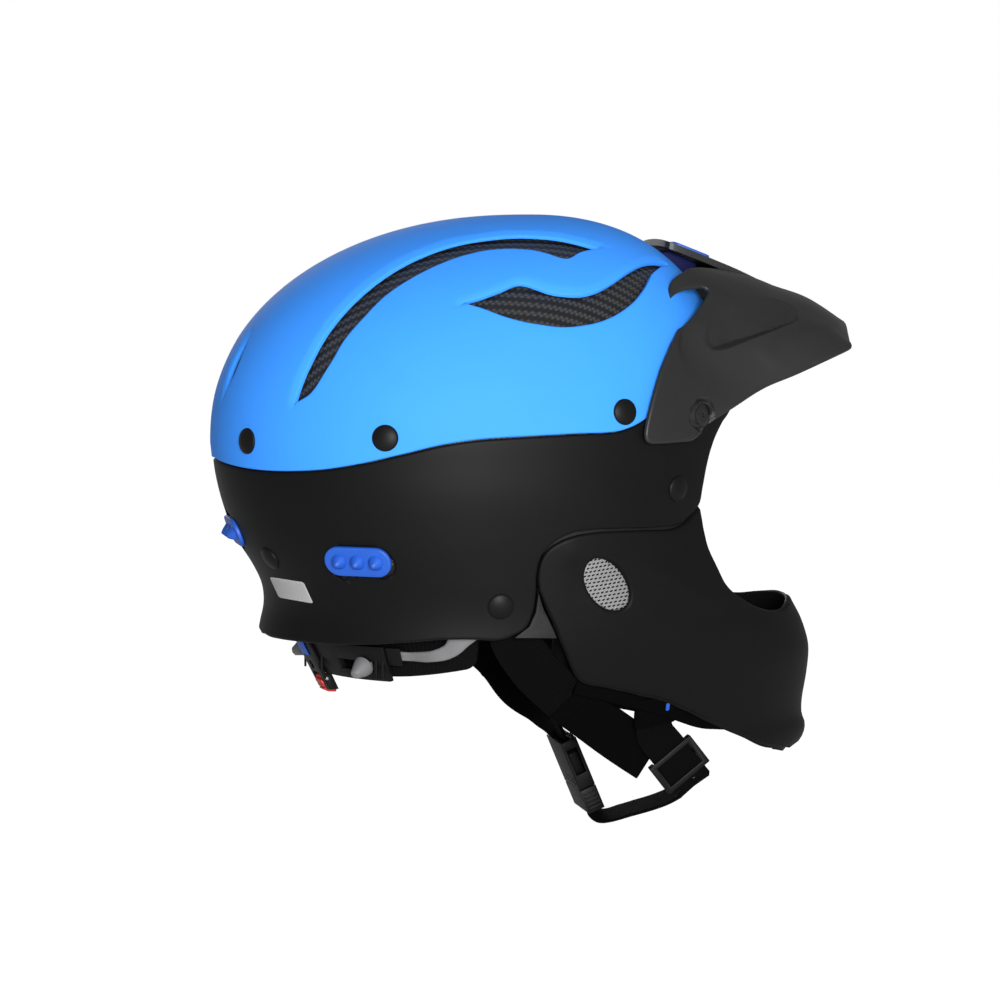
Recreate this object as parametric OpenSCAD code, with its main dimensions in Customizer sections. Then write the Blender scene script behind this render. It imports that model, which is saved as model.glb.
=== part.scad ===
// Full face helmet for white water: a two-colour outer shell over a carbon shell, with a chin
// guard, a peak, foam lining, a neck cradle that tightens, and a chin strap with a buckle.
// Millimetres. +Z is up, the face looks along -Y and the wearer's left is +X.
// The origin is the middle of the shell at its widest level, where the head is held.
// A place on the shell is a heading (0 front, 90 wearer's right, 180 rear) and a polar angle
// down from the crown. A place on the chin guard is an angle (90 front, 0 side) and a height.

/* [Shell] */
// Outer width of the shell
shell_w = 214; // [204:1:224]
// Reach of the shell in front of the origin
shell_front = 133; // [127:1:139]
// Reach of the shell behind the origin
shell_rear = 132.8; // [127:0.2:139]
// Height of the crown above the widest level
crown_h = 113.5; // [108:0.5:119]
// Depth of the skirt below the widest level, at its lowest drawn place
skirt_h = 99; // [94:1:104]
// Wall of the two outer shells
skin_t = 2.6; // [2:0.2:3.2]
// Step from the top shell down to the lower shell
skin_step = 0.6; // [0.4:0.1:1]
// Clearance between the hard layers
layer_gap = 0.7; // [0.6:0.1:1]
// Wall of the carbon shell
carbon_t = 1.8; // [1.4:0.2:2.4]
// Thickness of the impact foam
liner_t = 16; // [12:1:18]
// Thickness of the comfort pads
pad_t = 6; // [4:1:8]
// Clearance round soft pieces
soft_gap = 0.8; // [0.7:0.1:1.2]

/* [Snap caps] */
// Diameter of a snap cap
cap_d = 12.6; // [10:0.2:14]
// Height of a snap cap's crown
cap_h = 1.8; // [1.2:0.2:2.4]
// Diameter of a snap cap's shank
cap_shank_d = 4; // [3:0.5:5]
// Clearance round a cap or a shank
cap_gap = 0.25; // [0.2:0.05:0.4]

/* [Rubber stud pads] */
// Length of a stud pad
stud_pad_l = 34; // [28:1:38]
// Height of a stud pad
stud_pad_h = 15; // [12:1:18]
// Diameter of one stud
stud_d = 7; // [5:0.5:8]
// Spacing of the studs
stud_pitch = 9.4; // [8.5:0.1:10.5]
// Height of one stud
stud_h = 4; // [3:0.5:5]

/* [Chin guard] */
// Half-width of the chin guard at the ears
guard_w = 101.5; // [98:0.5:103]
// Reach of the chin guard in front of its hinge line, at the chin
guard_reach = 157; // [150:1:164]
// Wall of the chin guard
guard_t = 3.2; // [2.6:0.2:3.8]
// Long axis of the ear vent
ear_l = 31; // [24:1:34]
// Short axis of the ear vent
ear_w = 19; // [15:1:21]
// Wire of the ear mesh
mesh_wire = 0.8; // [0.6:0.1:1]
// Spacing of the holes in the ear mesh
mesh_pitch = 2.6; // [2.4:0.1:3.2]
// Thickness of the ear mesh
mesh_t = 0.8; // [0.6:0.1:1.2]

/* [Peak] */
// Wall of the peak
peak_t = 2.4; // [2:0.2:3]
// Gap from the shell to the inside of the peak at the temples
peak_gap = 2; // [1.6:0.2:3]
// Half-width of the tongue on the crown
tongue_w = 24; // [20:1:28]
// Diameter of a peak screw's head
screw_head_d = 10; // [8:0.5:12]
// Diameter of a peak screw's shank
screw_d = 5; // [4:0.5:6]
// Clearance of the peak round its screws
screw_fit = 0.15; // [0.1:0.01:0.2]

/* [Neck cradle] */
// Outer radius of the cradle's housing at its top
cradle_r = 80; // [76:1:84]
// Wall of the cradle's housing
cradle_t = 4; // [3.5:0.5:5]
// Height of the housing
cradle_h = 18; // [16:1:20]
// Half-angle that the housing spans
cradle_span = 43; // [41:1:46]
// Turn of the whole cradle to the wearer's right, as it hangs
cradle_turn = 10; // [6:1:12]
// Place of a tightening fin from the middle
fin_angle = 33; // [31:1:34]
// Travel of a tightening fin along its slot
fin_travel = 8; // [6:1:9]
// Forward travel of the cradle
cradle_travel = 8; // [6:1:9]
// Angle that the release lever turns
lever_turn = 12; // [8:1:15]

/* [Straps] */
// Width of the webbing
web_w = 24; // [20:1:25]
// Width of the front straps
front_web_w = 19; // [16:1:20]
// Thickness of the webbing
web_t = 1.6; // [1.2:0.2:2]
// Width of the buckle
buckle_w = 31; // [29:1:34]
// Thickness of the buckle
buckle_t = 9; // [8:0.5:10]
// Length of the buckle's socket
socket_l = 27; // [26:1:30]

/* [Hidden] */

// The size that the free-form outlines below were drawn for
drawn_w = 214;
drawn_front = 133;
drawn_rear = 132.8;
drawn_crown = 113.5;
drawn_skirt = 99;
drawn_guard_w = 101.5;
drawn_guard_reach = 157;

// Roundness of the shell seen from the front, the side and above
side_n = 2.2;
rear_n = 2.5;
front_n = 2;
plan_k = 2 / 2.15;
// How far the crown lies in front of the middle
crown_y = -30;
// Polar angle from the widest level to the bottom of the skirt
skirt_span = 50;

// How far the skirt draws in below the widest level: polar angle, millimetres
rear_inset = [[90, 0], [98, 1.9], [106, 5.8], [114, 11.8], [121, 20.3], [126, 24.8],
              [131, 25.8], [136, 23.8], [140, 22.3]];
side_inset = [[90, 0], [100, 0.5], [110, 3], [120, 6.5], [130, 10], [140, 10.5]];
front_inset = [[90, 0], [105, 4], [120, 12], [140, 23]];

// Lower edge of the top shell: heading, polar angle
border = [[0, 60], [20, 61], [36, 63], [46, 67], [53, 72], [58, 77.5], [62, 81.3], [66, 83.6],
          [71, 85], [80, 85.2], [97, 86.1], [105, 87.4], [113, 89.6], [122, 91.9], [132, 93.7],
          [142, 94.5], [151, 94.7], [160, 94.5], [172, 93.9], [180, 93.5]];
// Polar angle across the gap below that edge
border_gap = 0.3;

// Lower edge of the lower shell: heading where its rib leaves the border, heading, polar angle
edge = [[0, 0, 78], [7, 7, 78.3], [14, 14, 79.4], [21, 21.4, 81.1], [28, 28, 83], [34, 33, 84.8],
        [38, 38.6, 89.3], [41, 40.8, 94.5], [43, 41.8, 100], [45, 42.5, 104.5], [48, 47.2, 107.6],
        [52, 52, 109], [59, 60.2, 109], [66, 68.4, 108.7], [72, 75.6, 108.7], [76, 79.8, 109.3],
        [79, 83.8, 111.7], [82, 86, 114.9], [84, 86.7, 119.1], [86, 86.6, 123.8],
        [88, 87, 128.5], [91, 88.7, 132.6], [95, 93.5, 135], [100, 100, 134.8],
        [107, 107, 134.8], [115, 115, 135.4], [123, 123, 136.1], [130, 130, 136.5],
        [137, 137, 136.9], [144, 144, 137.1], [151, 151, 137.2], [158, 158, 137.4],
        [165, 165, 137.6], [172, 172, 137.8], [180, 180, 138]];

// Long top vent, its outer and inner edges: heading, polar angle
top_vent_low = [[141, 78], [136.5, 75], [133.7, 68], [132.5, 62], [130.3, 55.3], [128.3, 49.2],
                [125.5, 44.6], [120.2, 38.7], [113.5, 34.2], [104.9, 31.7], [93.7, 32],
                [83.5, 35.8], [76.9, 32.9], [67, 31.2]];
top_vent_high = [[141.4, 77], [140.3, 72], [139.6, 67], [139, 61.1], [138, 54.9], [136.2, 47.4],
                 [133.1, 39.5], [128.4, 33.3], [121.5, 28.5], [111.8, 25.5], [99.2, 24],
                 [84, 25.7], [74, 28.5], [67.4, 30.4]];
// Wavy side vent, its upper and lower edges
side_vent_high = [[106.5, 50.6], [102.9, 49.5], [98.7, 47.1], [94.5, 44.8], [88.1, 47.6],
                  [83.3, 48.6], [78.7, 48.7], [73.7, 47.4], [67.4, 44.4], [58.6, 40.4],
                  [50, 38.1], [40.1, 37.4], [31.5, 38.5]];
side_vent_low = [[106.3, 51.2], [102.1, 52.5], [95.7, 55.3], [89.4, 57.3], [83, 58.2],
                 [75.8, 57.2], [69.8, 55], [63.8, 51.7], [58.7, 48.2], [54, 44.9],
                 [49.5, 42], [40.6, 39.4], [31.5, 39.3]];
// Slit beside the rear ridge
slit_in = [[173.4, 60.5], [173.8, 66], [173.8, 72], [173, 77]];
slit_out = [[171.4, 61.5], [169.4, 66], [169.2, 72], [171.6, 77]];

// Snap caps: heading, polar angle
top_caps = [[156, 87.8], [117.2, 85.9], [68.9, 80.3]];
low_caps = [[159.7, 117.2], [93.8, 126.8], [52.4, 99.8]];
// Middle of a side stud pad, and its tilt
stud_at = [127.6, 116.1];
stud_tilt = 2;
stud_rear_p = 112;
// Middle of the blank label, its half sizes along the heading and down, its thickness
label_at = [158, 124.9];
label_half = [9.4, 2.6];
label_t = 0.4;
label_gap = 0.5;

// Half-width of the chin guard by height, and its reach by height
guard_half = [[-163, 69], [-145, 75], [-125, 83], [-110, 88.5], [-90, 94], [-67, 97.5],
              [-37, 101.5], [-20, 101.5]];
guard_fore = [[-163, 142], [-161, 149], [-157, 154], [-150, 156], [-144, 154], [-136, 154],
              [-123, 156], [-111, 157], [-104, 156], [-93, 152], [-84, 147], [-75, 143],
              [-60, 134], [-37, 120], [-20, 116]];
// Where the guard's round front starts, and its roundness
guard_y = -20;
guard_k = 2 / 1.8;
// Upper and lower edge of the chin guard, from the front to the ear: angle, height
guard_top = [[90, -82], [83, -82], [73, -84], [64, -86], [56, -84], [49, -78], [44.5, -70],
             [43.3, -60], [42.7, -50], [43.3, -42], [43.9, -35], [43.8, -29.5], [38, -36],
             [32.5, -39], [25, -39], [17.5, -38.6], [10.5, -38.6], [4, -39.8], [-2.5, -44],
             [-5.3, -50], [-6, -58], [-5.4, -66]];
guard_low = [[90, -163], [76, -161.5], [64, -158.5], [54, -155], [47, -149], [41, -142.5],
             [36, -137], [33.5, -134], [31, -131], [29, -129], [27.5, -127], [25.5, -125],
             [22.5, -122.5], [20, -121], [17, -118.5], [14.5, -117], [12, -115.2], [9.5, -114],
             [6.9, -112], [4.8, -107], [1.4, -92], [-3.4, -74]];
// Middle of the ear vent on the guard, and the lean of its long axis
ear_at = [12.2, -64];
ear_lean = -48;
// How deep the mesh lies in its vent
mesh_deep = 1.4;

// Cheek pad: angle, top, bottom
cheek = [[35, -118, -135], [31, -98, -135], [25, -72, -133], [17.6, -58, -129],
         [11.5, -54, -124], [5.7, -54, -116], [1, -58, -110]];
cheek_in = 9.4;
cheek_t = 19;
chin_gap = 2;
chin_foam_t = 8;

// Peak, right half, from the middle to the temple: rear, middle and front edge.
// A pair is a heading and a polar angle on the shell, lifted by the peak's stand-off.
peak_rear = [[0, -118, 86.5], [-12, -117, 86.6], [-24, -115, 86.8], [-36, -111, 87],
             [-46, -103, 87.6], [-54, -94.5, 86.5], [-59, -88.5, 82.5], [-62.2, -87.8, 77],
             [-62.5, -90, 73], [-61.5, -98, 75.5], [-63.5, -104.5, 72], [45.5, 58.8], [50, 62],
             [54.8, 66], [58.4, 70.5], [61, 75.7], [62.7, 80.7], [63.4, 87.4]];
peak_mid = [[0, -150, 79.6], [-15, -149.5, 79], [-30, -147, 77.2], [-43, -142, 74],
            [-54, -136, 69], [-63, -131, 61], [-69, -121, 54], [51, 69.5], [54, 75],
            [56, 80], [58, 85], [59.8, 88.8]];
peak_front = [[0, -195.5, 56.5], [-17, -191.2, 55.6], [-34, -186.4, 53], [-48, -182.8, 50],
              [-58, -180, 47.5], [-64, -168, 42.5], [-69, -149, 35], [-72.5, -130, 28],
              [-76.5, -113, 18.5], [47, 85.5], [51, 88.2], [56.5, 88.9]];
// Share of the way to the temple of each place on the rear edge
peak_share = [0, 0.09, 0.18, 0.27, 0.36, 0.42, 0.46, 0.49, 0.52, 0.55, 0.58, 0.63, 0.69, 0.75,
              0.81, 0.87, 0.93, 1];
// Middle line of the tongue, rear to front, and its half-width there
tongue_line = [[-92, 101.3], [-105, 96.6], [-118, 91.6], [-132, 86], [-146, 79.6]];
// Screw of the peak: heading, polar angle
screw_at = [47.6, 82];
spacer_d = 13;
// Badge on the tongue
badge_l = 20.5;
badge_w = 12.5;
badge_t = 1;
badge_r = 3;
// Raised rib of the top shell under the tongue, its gap to it, and the polar angles it spans
rib_w = 26;
rib_gap = 1.2;
rib_deep = 2;
rib_polar = [33.6, 37, 41, 45, 49.5];

// Cradle: its centre behind the origin, its top, and how it narrows downward
cradle_y = 12;
cradle_top = -95;
cradle_slant = 0.5;
spine_half = 6.5;
spine_drop = 26;
spine_t = 2.3;
spine_hole_d = 4.6;
spine_hole_drop = 14.2;
housing_slit = 0.3;
fin_out = 9;
fin_h = 10.5;
slot_h = 4.5;
// Keeper of an arm, its bore, and the arm in it
arm_w = 5;
arm_t = 1.6;
arm_drop = 4.6;
arm_deep = 3.6;
keeper_h = 9;
// Release lever between the spine's ears
lever_w = 8.8;
lever_drop = 21;
lever_r = 2.4;
pin_d = 2;
pin_fit = 0.06;
nape_h = 15.5;
nape_t = 4;
nape_span = 70;
hanger_w = 14;
hanger_t = 1.5;
rivet_d = 7;
rivet_h = 1.2;

// Depths of the layers
low_in = skin_step + skin_t;
carbon_out = skin_t + skin_step + layer_gap;
carbon_in = carbon_out + carbon_t;
liner_out = carbon_in + soft_gap;
liner_in = liner_out + liner_t;
pad_out = liner_in + soft_gap;
pad_in = pad_out + pad_t;

// Depth of a strap's middle at its anchor, inside the carbon shell or the chin guard
strap_gap = 0.4;
guard_strap_deep = guard_t + 1 + web_t / 2;
shell_strap_deep = carbon_in + 1 + web_t / 2;
anchor_t = 1.5;
anchor_l = 15;
anchor_w = 9;
rear_anchor = [90, 125];
front_anchor = [24, -99];

// Buckle: its mouth, its tilt, and the line that the plug leaves along
buckle_at = [25, -62.2, -182];
buckle_tilt = -22.6;
function in_line(z) = buckle_at + z * [0, -sin(buckle_tilt), cos(buckle_tilt)];
// Direction across the buckle's thickness
buckle_side = [0, cos(buckle_tilt), sin(buckle_tilt)];
wall_t = 1.8;
plug_l = 13;
prong_l = 21;
prong_r = 3.2;
prong_in = 4;
prong_pivot = 2.6;
prong_gap = 0.3;
window_low = 8;
window_high = 22;
boss_d = 9;
// Slider: its middle, the run of the web through it, its length, bars and thickness
slider_at = [-62, -90.2, -158.5];
slider_tilt = 38;
web_run = [0, sin(slider_tilt), cos(slider_tilt)];
web_side = [0, cos(slider_tilt), -sin(slider_tilt)];
slider_l = 17;
slider_t = 4.6;
slider_bar = 2.6;
slider_side = 3;

// A free place of a strap moves out with the shell and forward with the guard, and stays by the buckle
worn_from = 8;
worn_over = 40;
function worn(p, reach = 0) =
    let (share = min(max((p[2] - slider_at[2] - worn_from) / worn_over, 0), 1))
    [p[0] + sign(p[0]) * share * (shell_w - drawn_w) / 2,
     p[1] * (1 + reach * share * (guard_reach / drawn_guard_reach - 1)), p[2]];
// Routes of the straps, chosen by hand: place, then direction across the web
rear_right_route = [[shell(90, 122.5, shell_strap_deep), [0, 1, 0]],
                    [shell(90, 128, shell_strap_deep), [0, 1, 0]],
                    [worn([-86.5, -0.5, -89]), [0.05, 1, -0.05]],
                    [worn([-83, -9.5, -103]), [0.1, 0.85, -0.5]],
                    [worn([-79.5, -20, -114]), [0.25, 0.65, -0.7]],
                    [worn([-75.5, -32, -124]), [0.3, 0.55, -0.78]],
                    [worn([-69, -48, -136]), [0.25, 0.53, -0.8]],
                    [worn([-62, -62, -146]), [0.1, 0.53, -0.84]],
                    [worn([-57.5, -76, -155.5]), [0, 0.52, -0.85]]];
rear_left_route = [[flip_x(shell(90, 122.5, shell_strap_deep)), [0, 1, 0]],
                   [flip_x(shell(90, 128, shell_strap_deep)), [0, 1, 0]],
                   [worn([86.5, -0.5, -89]), [-0.05, 1, -0.05]],
                   [worn([83, -9.5, -103]), [-0.1, 0.85, -0.5]],
                   [worn([79.5, -20, -114]), [-0.25, 0.65, -0.7]],
                   [worn([75.3, -31, -125.3]), [-0.33, 0.57, -0.75]],
                   [worn([66.5, -39, -136.4]), [-0.1, 0.6, -0.79]],
                   [worn([52, -45.5, -141.6]), [0.42, 0.38, -0.82]],
                   [worn([38, -47.5, -145]), [0.75, 0.15, -0.6]], [worn([27, -49, -150.2]), [1, 0, -0.04]],
                   [in_line(socket_l + 3), [1, 0, 0]], [in_line(socket_l - 2.2), [1, 0, 0]]];
front_right_route = [[guard(24, -95, guard_strap_deep), [-0.26, 0.96, 0]],
                     [guard(24, -104, guard_strap_deep), [-0.26, 0.96, 0]],
                     [worn([-72.5, -76, -114], 1), [-0.22, 0.97, 0]],
                     [worn([-69.5, -76.3, -124], 1), [-0.12, 0.97, -0.15]],
                     [worn([-65.5, -76.6, -134], 1), [-0.05, 0.92, -0.35]],
                     [slider_at + 20 * web_run, web_side], [slider_at + 10 * web_run, web_side],
                     [slider_at - 10 * web_run, web_side]];
front_left_route = [[flip_x(guard(24, -95, guard_strap_deep)), [0.26, 0.96, 0]],
                    [flip_x(guard(24, -104, guard_strap_deep)), [0.26, 0.96, 0]],
                    [worn([72.5, -76, -114], 1), [0.22, 0.97, 0]],
                    [worn([69.5, -76.3, -124], 1), [0.12, 0.97, -0.15]],
                    [worn([65.5, -75.5, -134], 1), [0.2, 0.95, -0.1]],
                    [worn([60, -70.5, -141], 1), [0.4, 0.88, 0]],
                    [worn([53.5, -62.5, -144.5], 1), [0.5, 0.8, -0.3]],
                    [worn([46, -54.5, -145.3], 1), [0.5, 0.45, -0.7]],
                    [worn([39, -51, -146], 1), [0.36, 0.12, -0.92]],
                    [worn([33.5, -51, -147.6], 1), [0.5, 0.05, -0.85]]];
chin_route = [[in_line(-7.2), [-1, 0, 0]], [in_line(-13.2), [-1, 0, 0]],
              [[22.8, -70.6, -196.8], [-0.95, 0.25, 0]], [[15, -75.5, -197], [-0.65, 0.72, -0.3]],
              [[2, -79.5, -193.5], [-0.25, 0.85, -0.5]], [[-14, -84.5, -188], [-0.05, 0.84, -0.54]],
              [[-32, -89.5, -181.5], [0, 0.8, -0.6]], [[-48, -94, -175.5], [0, 0.79, -0.61]],
              [[-57.6, -97.5, -170.8], [0, 0.79, -0.61]], [slider_at - 13 * web_run, web_side],
              [slider_at - 10.6 * web_run, web_side]];

facets = 48;
shell_cols = 60;
shell_rows = 12;

function spower(v, k) = sign(v) * pow(abs(v), k);
function mix(a, b, t) = a + (b - a) * t;
function bulge(p, n) = pow(1 - pow(max(cos(min(p, 90)), 0), n), 1 / n);

// Smooth value from a table of [place, value] pairs
function slope(t, i) =
    let (a = max(i - 1, 0), b = min(i + 1, len(t) - 1))
    (t[b][1] - t[a][1]) / (t[b][0] - t[a][0]);
function span_of(t, x, i = 0) = i >= len(t) - 2 || x <= t[i + 1][0] ? i : span_of(t, x, i + 1);
function curve(t, x) =
    let (i = span_of(t, x), w = t[i + 1][0] - t[i][0], u = min(max((x - t[i][0]) / w, 0), 1))
    (2 * pow(u, 3) - 3 * pow(u, 2) + 1) * t[i][1] + (pow(u, 3) - 2 * pow(u, 2) + u) * w * slope(t, i)
    + (3 * pow(u, 2) - 2 * pow(u, 3)) * t[i + 1][1] + (pow(u, 3) - pow(u, 2)) * w * slope(t, i + 1);

// A point on the shell, or inside it by a depth
function shell(h, p, deep = 0) =
    let (below = p > 90,
         half = (shell_w / 2 - deep) * bulge(p, side_n) - (below ? curve(side_inset, p) : 0),
         front = (shell_front - deep) * bulge(p, front_n) - (below ? curve(front_inset, p) : 0),
         rear = (shell_rear - deep) * bulge(p, rear_n) - (below ? curve(rear_inset, p) : 0),
         mid = below ? 0 : crown_y * pow(cos(p), 2),
         reach = cos(h) > 0 ? front : rear)
    [-half * spower(sin(h), plan_k), mid - reach * spower(cos(h), plan_k),
     below ? -skirt_h * (p - 90) / skirt_span : (crown_h - deep) * cos(p)];
function shell_normal(h, p) =
    let (n = cross(shell(h + 0.5, p) - shell(h - 0.5, p), shell(h, p + 0.5) - shell(h, p - 0.5)))
    n / norm(n);

// A point on the chin guard, or inside it by a depth
function guard(a, z, deep = 0) =
    let (half = curve(guard_half, z) * guard_w / drawn_guard_w - deep,
         fore = curve(guard_fore, z) * guard_reach / drawn_guard_reach - deep)
    [-half * spower(cos(a), guard_k), guard_y - fore * spower(sin(a), guard_k),
     z * skirt_h / drawn_skirt];
function guard_normal(a, z) =
    let (n = cross(guard(a - 0.5, z) - guard(a + 0.5, z), guard(a, z - 0.5) - guard(a, z + 0.5)))
    n / norm(n);

function flip_x(p) = [-p[0], p[1], p[2]];
// A row that starts in the middle of the front, with its mirror image before it
function both(row) = concat([for (i = [len(row) - 1:-1:1]) flip_x(row[i])], row);
// A row from the middle of the front to the middle of the rear, closed by its mirror image
function ring(row) = concat(row, [for (i = [len(row) - 2:-1:1]) flip_x(row[i])]);

// Solid between two grids of points, whose rows run down and whose columns run to the right
module sheet(outer, inner, closed = false, poles = []) {
    rows = len(outer);
    cols = len(outer[0]);
    n = rows * cols;
    last = closed ? cols - 1 : cols - 2;
    skin = [for (i = [0:rows - 2], j = [0:last])
        let (a = i * cols + j, b = i * cols + (j + 1) % cols, c = b + cols, d = a + cols)
        each [[a, c, b], [a, d, c], [n + a, n + b, n + c], [n + a, n + c, n + d]]];
    crown = [for (j = [0:last]) let (a = j, b = (j + 1) % cols)
        each len(poles) == 2 ? [[a, b, 2 * n], [n + b, n + a, 2 * n + 1]]
                             : [[a, b, n + b], [a, n + b, n + a]]];
    foot = [for (j = [0:last])
        let (d = n - cols + j, c = n - cols + (j + 1) % cols)
        each [[c, d, n + d], [c, n + d, n + c]]];
    ends = closed ? [] : [for (i = [0:rows - 2])
        let (a = i * cols, d = a + cols, b = a + cols - 1, c = b + cols)
        each [[d, a, n + a], [d, n + a, n + d], [b, c, n + c], [b, n + c, n + b]]];
    polyhedron(concat([for (r = outer) each r], [for (r = inner) each r], poles),
               concat(skin, crown, foot, ends));
}

// Places the children on the shell, with +Z along its outward normal and +X to the rear
module on_shell(h, p, deep = 0) {
    z = shell_normal(h, p);
    flat = cross([0, 0, -1], z);
    x = flat / norm(flat);
    y = cross(z, x);
    o = shell(h, p) - deep * z;
    multmatrix([[x[0], y[0], z[0], o[0]], [x[1], y[1], z[1], o[1]], [x[2], y[2], z[2], o[2]]])
        children();
}
module on_guard(a, h, deep = 0) {
    z = guard_normal(a, h);
    flat = cross([0, 0, -1], z);
    x = flat / norm(flat);
    y = cross(z, x);
    o = guard(a, h) - deep * z;
    multmatrix([[x[0], y[0], z[0], o[0]], [x[1], y[1], z[1], o[1]], [x[2], y[2], z[2], o[2]]])
        children();
}
module pair() {
    children();
    mirror([1, 0, 0]) children();
}

// A plug through the shell between two edges
module vent_plug(a, b, deep, high = 4) {
    outer = [[for (q = a) shell(q[0], q[1], -high)], [for (q = b) shell(q[0], q[1], -high)]];
    inner = [[for (q = a) shell(q[0], q[1], deep)], [for (q = b) shell(q[0], q[1], deep)]];
    sheet(outer, inner);
}
function turned(path) = [for (i = [len(path) - 1:-1:0]) path[i]];

// Hole and seat for a snap cap
module cap_seat(q, deep) {
    on_shell(q[0], q[1]) {
        translate([0, 0, -deep]) cylinder(h = 8, d = cap_d + 2 * cap_gap, $fn = facets);
        translate([0, 0, -12]) cylinder(h = 14, d = cap_shank_d + 2 * cap_gap, $fn = facets);
    }
}
module snap_cap(q, deep) {
    radius = (pow(cap_d / 2, 2) + pow(cap_h, 2)) / (2 * cap_h);
    on_shell(q[0], q[1]) translate([0, 0, 0.02 - deep]) {
        intersection() {
            translate([0, 0, 0.8 + cap_h - radius]) sphere(r = radius, $fn = 96);
            cylinder(h = 0.8 + cap_h, d = cap_d, $fn = facets);
        }
        translate([0, 0, -4]) cylinder(h = 4.2, d = cap_shank_d, $fn = facets);
    }
}

// Rib that fills the room between the crown and the tongue
module tongue_rib() {
    low = [for (p = rib_polar) let (q = shell(0, p, rib_deep)) [q[1], q[2]]];
    function top(y) = lookup(y * drawn_front / shell_front, tongue_line) * crown_h / drawn_crown
                      - peak_t - rib_gap;
    rotate([90, 0, 90]) linear_extrude(rib_w, center = true)
        polygon(concat(low, [for (k = [len(low) - 1:-1:0]) [low[k][0], top(low[k][0])]]));
}
module top_shell() {
    color("dodgerblue") difference() {
        union() {
            tongue_rib();
            sheet([for (i = [0:shell_rows]) [for (j = [0:shell_cols - 1])
                      let (h = j * 360 / shell_cols, b = curve(border, h > 180 ? 360 - h : h))
                      shell(h, mix(8, b, i / shell_rows))]],
                  [for (i = [0:shell_rows]) [for (j = [0:shell_cols - 1])
                      let (h = j * 360 / shell_cols, b = curve(border, h > 180 ? 360 - h : h))
                      shell(h, mix(8, b, i / shell_rows), skin_t)]],
                  closed = true, poles = [shell(0, 0), shell(0, 0, skin_t)]);
        }
        pair() {
            vent_plug(turned(top_vent_high), turned(top_vent_low), skin_t + 2);
            vent_plug(turned(side_vent_high), turned(side_vent_low), skin_t + 2);
            vent_plug(slit_in, slit_out, skin_t + 2);
            for (q = top_caps) cap_seat(q, 0.6);
        }
    }
}

// Path of the lower edge, moved inward
function edge_in(i, d) =
    let (a = edge[max(i - 1, 0)], b = edge[min(i + 1, len(edge) - 1)],
         t = [b[1] - a[1], b[2] - a[2]], n = [t[1], -t[0]] / norm(t))
    [edge[i][1] + n[0] * d, edge[i][2] + n[1] * d];
// Rows of the skirt, closer together where it flares
skirt_rows = [0, 0.2, 0.4, 0.53, 0.63, 0.73, 0.83, 0.92, 1];
dome_rows = 8;
function skirt_row(t, inset, deep) = ring([for (i = [0:len(edge) - 1])
    let (e = edge[i], q = edge_in(i, inset), top = curve(border, e[0]) + border_gap,
         h = i == 0 || i == len(edge) - 1 ? e[0] : q[0])
    shell(mix(e[0], h, t), mix(top, q[1], t), deep)]);
function dome_row(t, deep) =
    ring([for (e = edge) shell(e[0], mix(8, curve(border, e[0]) + border_gap, t), deep)]);

module lower_shell() {
    color("#262627") difference() {
        sheet([for (t = skirt_rows) skirt_row(t, 0, skin_step)],
              [for (t = skirt_rows) skirt_row(t, 0, low_in)], closed = true);
        pair() {
            for (q = low_caps) cap_seat(q, skin_step + 0.6);
            on_shell(stud_at[0], stud_at[1]) rotate([0, 0, stud_tilt]) stud_pocket();
            screw_line() cylinder(h = 2 * liner_t, d = screw_d + 2 * cap_gap, center = true, $fn = facets);
        }
        on_shell(180, stud_rear_p) stud_pocket();
    }
}

carbon_inset = 1.4;
module carbon_shell() {
    function grid(deep) = concat([for (k = [0:dome_rows - 1]) dome_row(k / dome_rows, deep)],
                                 [for (t = skirt_rows) skirt_row(t, carbon_inset, deep)]);
    color("#3a3c40") difference() {
        sheet(grid(carbon_out), grid(carbon_in), closed = true,
              poles = [shell(0, 0, carbon_out), shell(0, 0, carbon_in)]);
        pair() {
            for (q = concat(top_caps, low_caps)) on_shell(q[0], q[1], liner_t)
                cylinder(h = liner_t, d = cap_shank_d + 2 * cap_gap, $fn = facets);
            screw_line() cylinder(h = 2 * liner_t, d = screw_d + 2 * cap_gap, center = true, $fn = facets);
        }
    }
}

module top_snap_caps() {
    color("#2b2b2c") pair() for (q = top_caps) snap_cap(q, 0.6);
}
module lower_snap_caps() {
    color("#2b2b2c") pair() for (q = low_caps) snap_cap(q, skin_step + 0.6);
}

// Rubber pad with three round cones, and the pocket that it fits
module capsule(l, w, h) {
    hull() pair() translate([l / 2 - w / 2, 0, 0]) cylinder(h = h, d = w, $fn = 32);
}
module stud_pocket() {
    translate([0, 0, -1.9]) capsule(stud_pad_l + 2 * cap_gap, stud_pad_h + 2 * cap_gap, 8);
}
module stud_pad() {
    translate([0, 0, -1.88]) capsule(stud_pad_l, stud_pad_h, 1.7);
    for (k = [-1:1]) translate([k * stud_pitch, 0, -0.4]) rotate_extrude($fn = facets)
        polygon(concat([[0, 0]], [for (a = [0:15:90]) [stud_d / 2 * pow(cos(a), 1.4), stud_h * sin(a)]]));
}
module stud_pad_right() {
    color("#2f76e0") on_shell(stud_at[0], stud_at[1]) rotate([0, 0, stud_tilt]) stud_pad();
}
module stud_pad_left() {
    color("#2f76e0") mirror([1, 0, 0])
        on_shell(stud_at[0], stud_at[1]) rotate([0, 0, stud_tilt]) stud_pad();
}
module stud_pad_rear() {
    color("#2f76e0") on_shell(180, stud_rear_p) stud_pad();
}

module label_patch() {
    function grid(deep) = [for (k = [-1:1]) [for (j = [-1:0.5:1])
        shell(label_at[0] + j * label_half[0], label_at[1] + k * label_half[1], deep)]];
    color("gainsboro") sheet(grid(skin_step - label_gap - label_t), grid(skin_step - label_gap));
}

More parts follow.
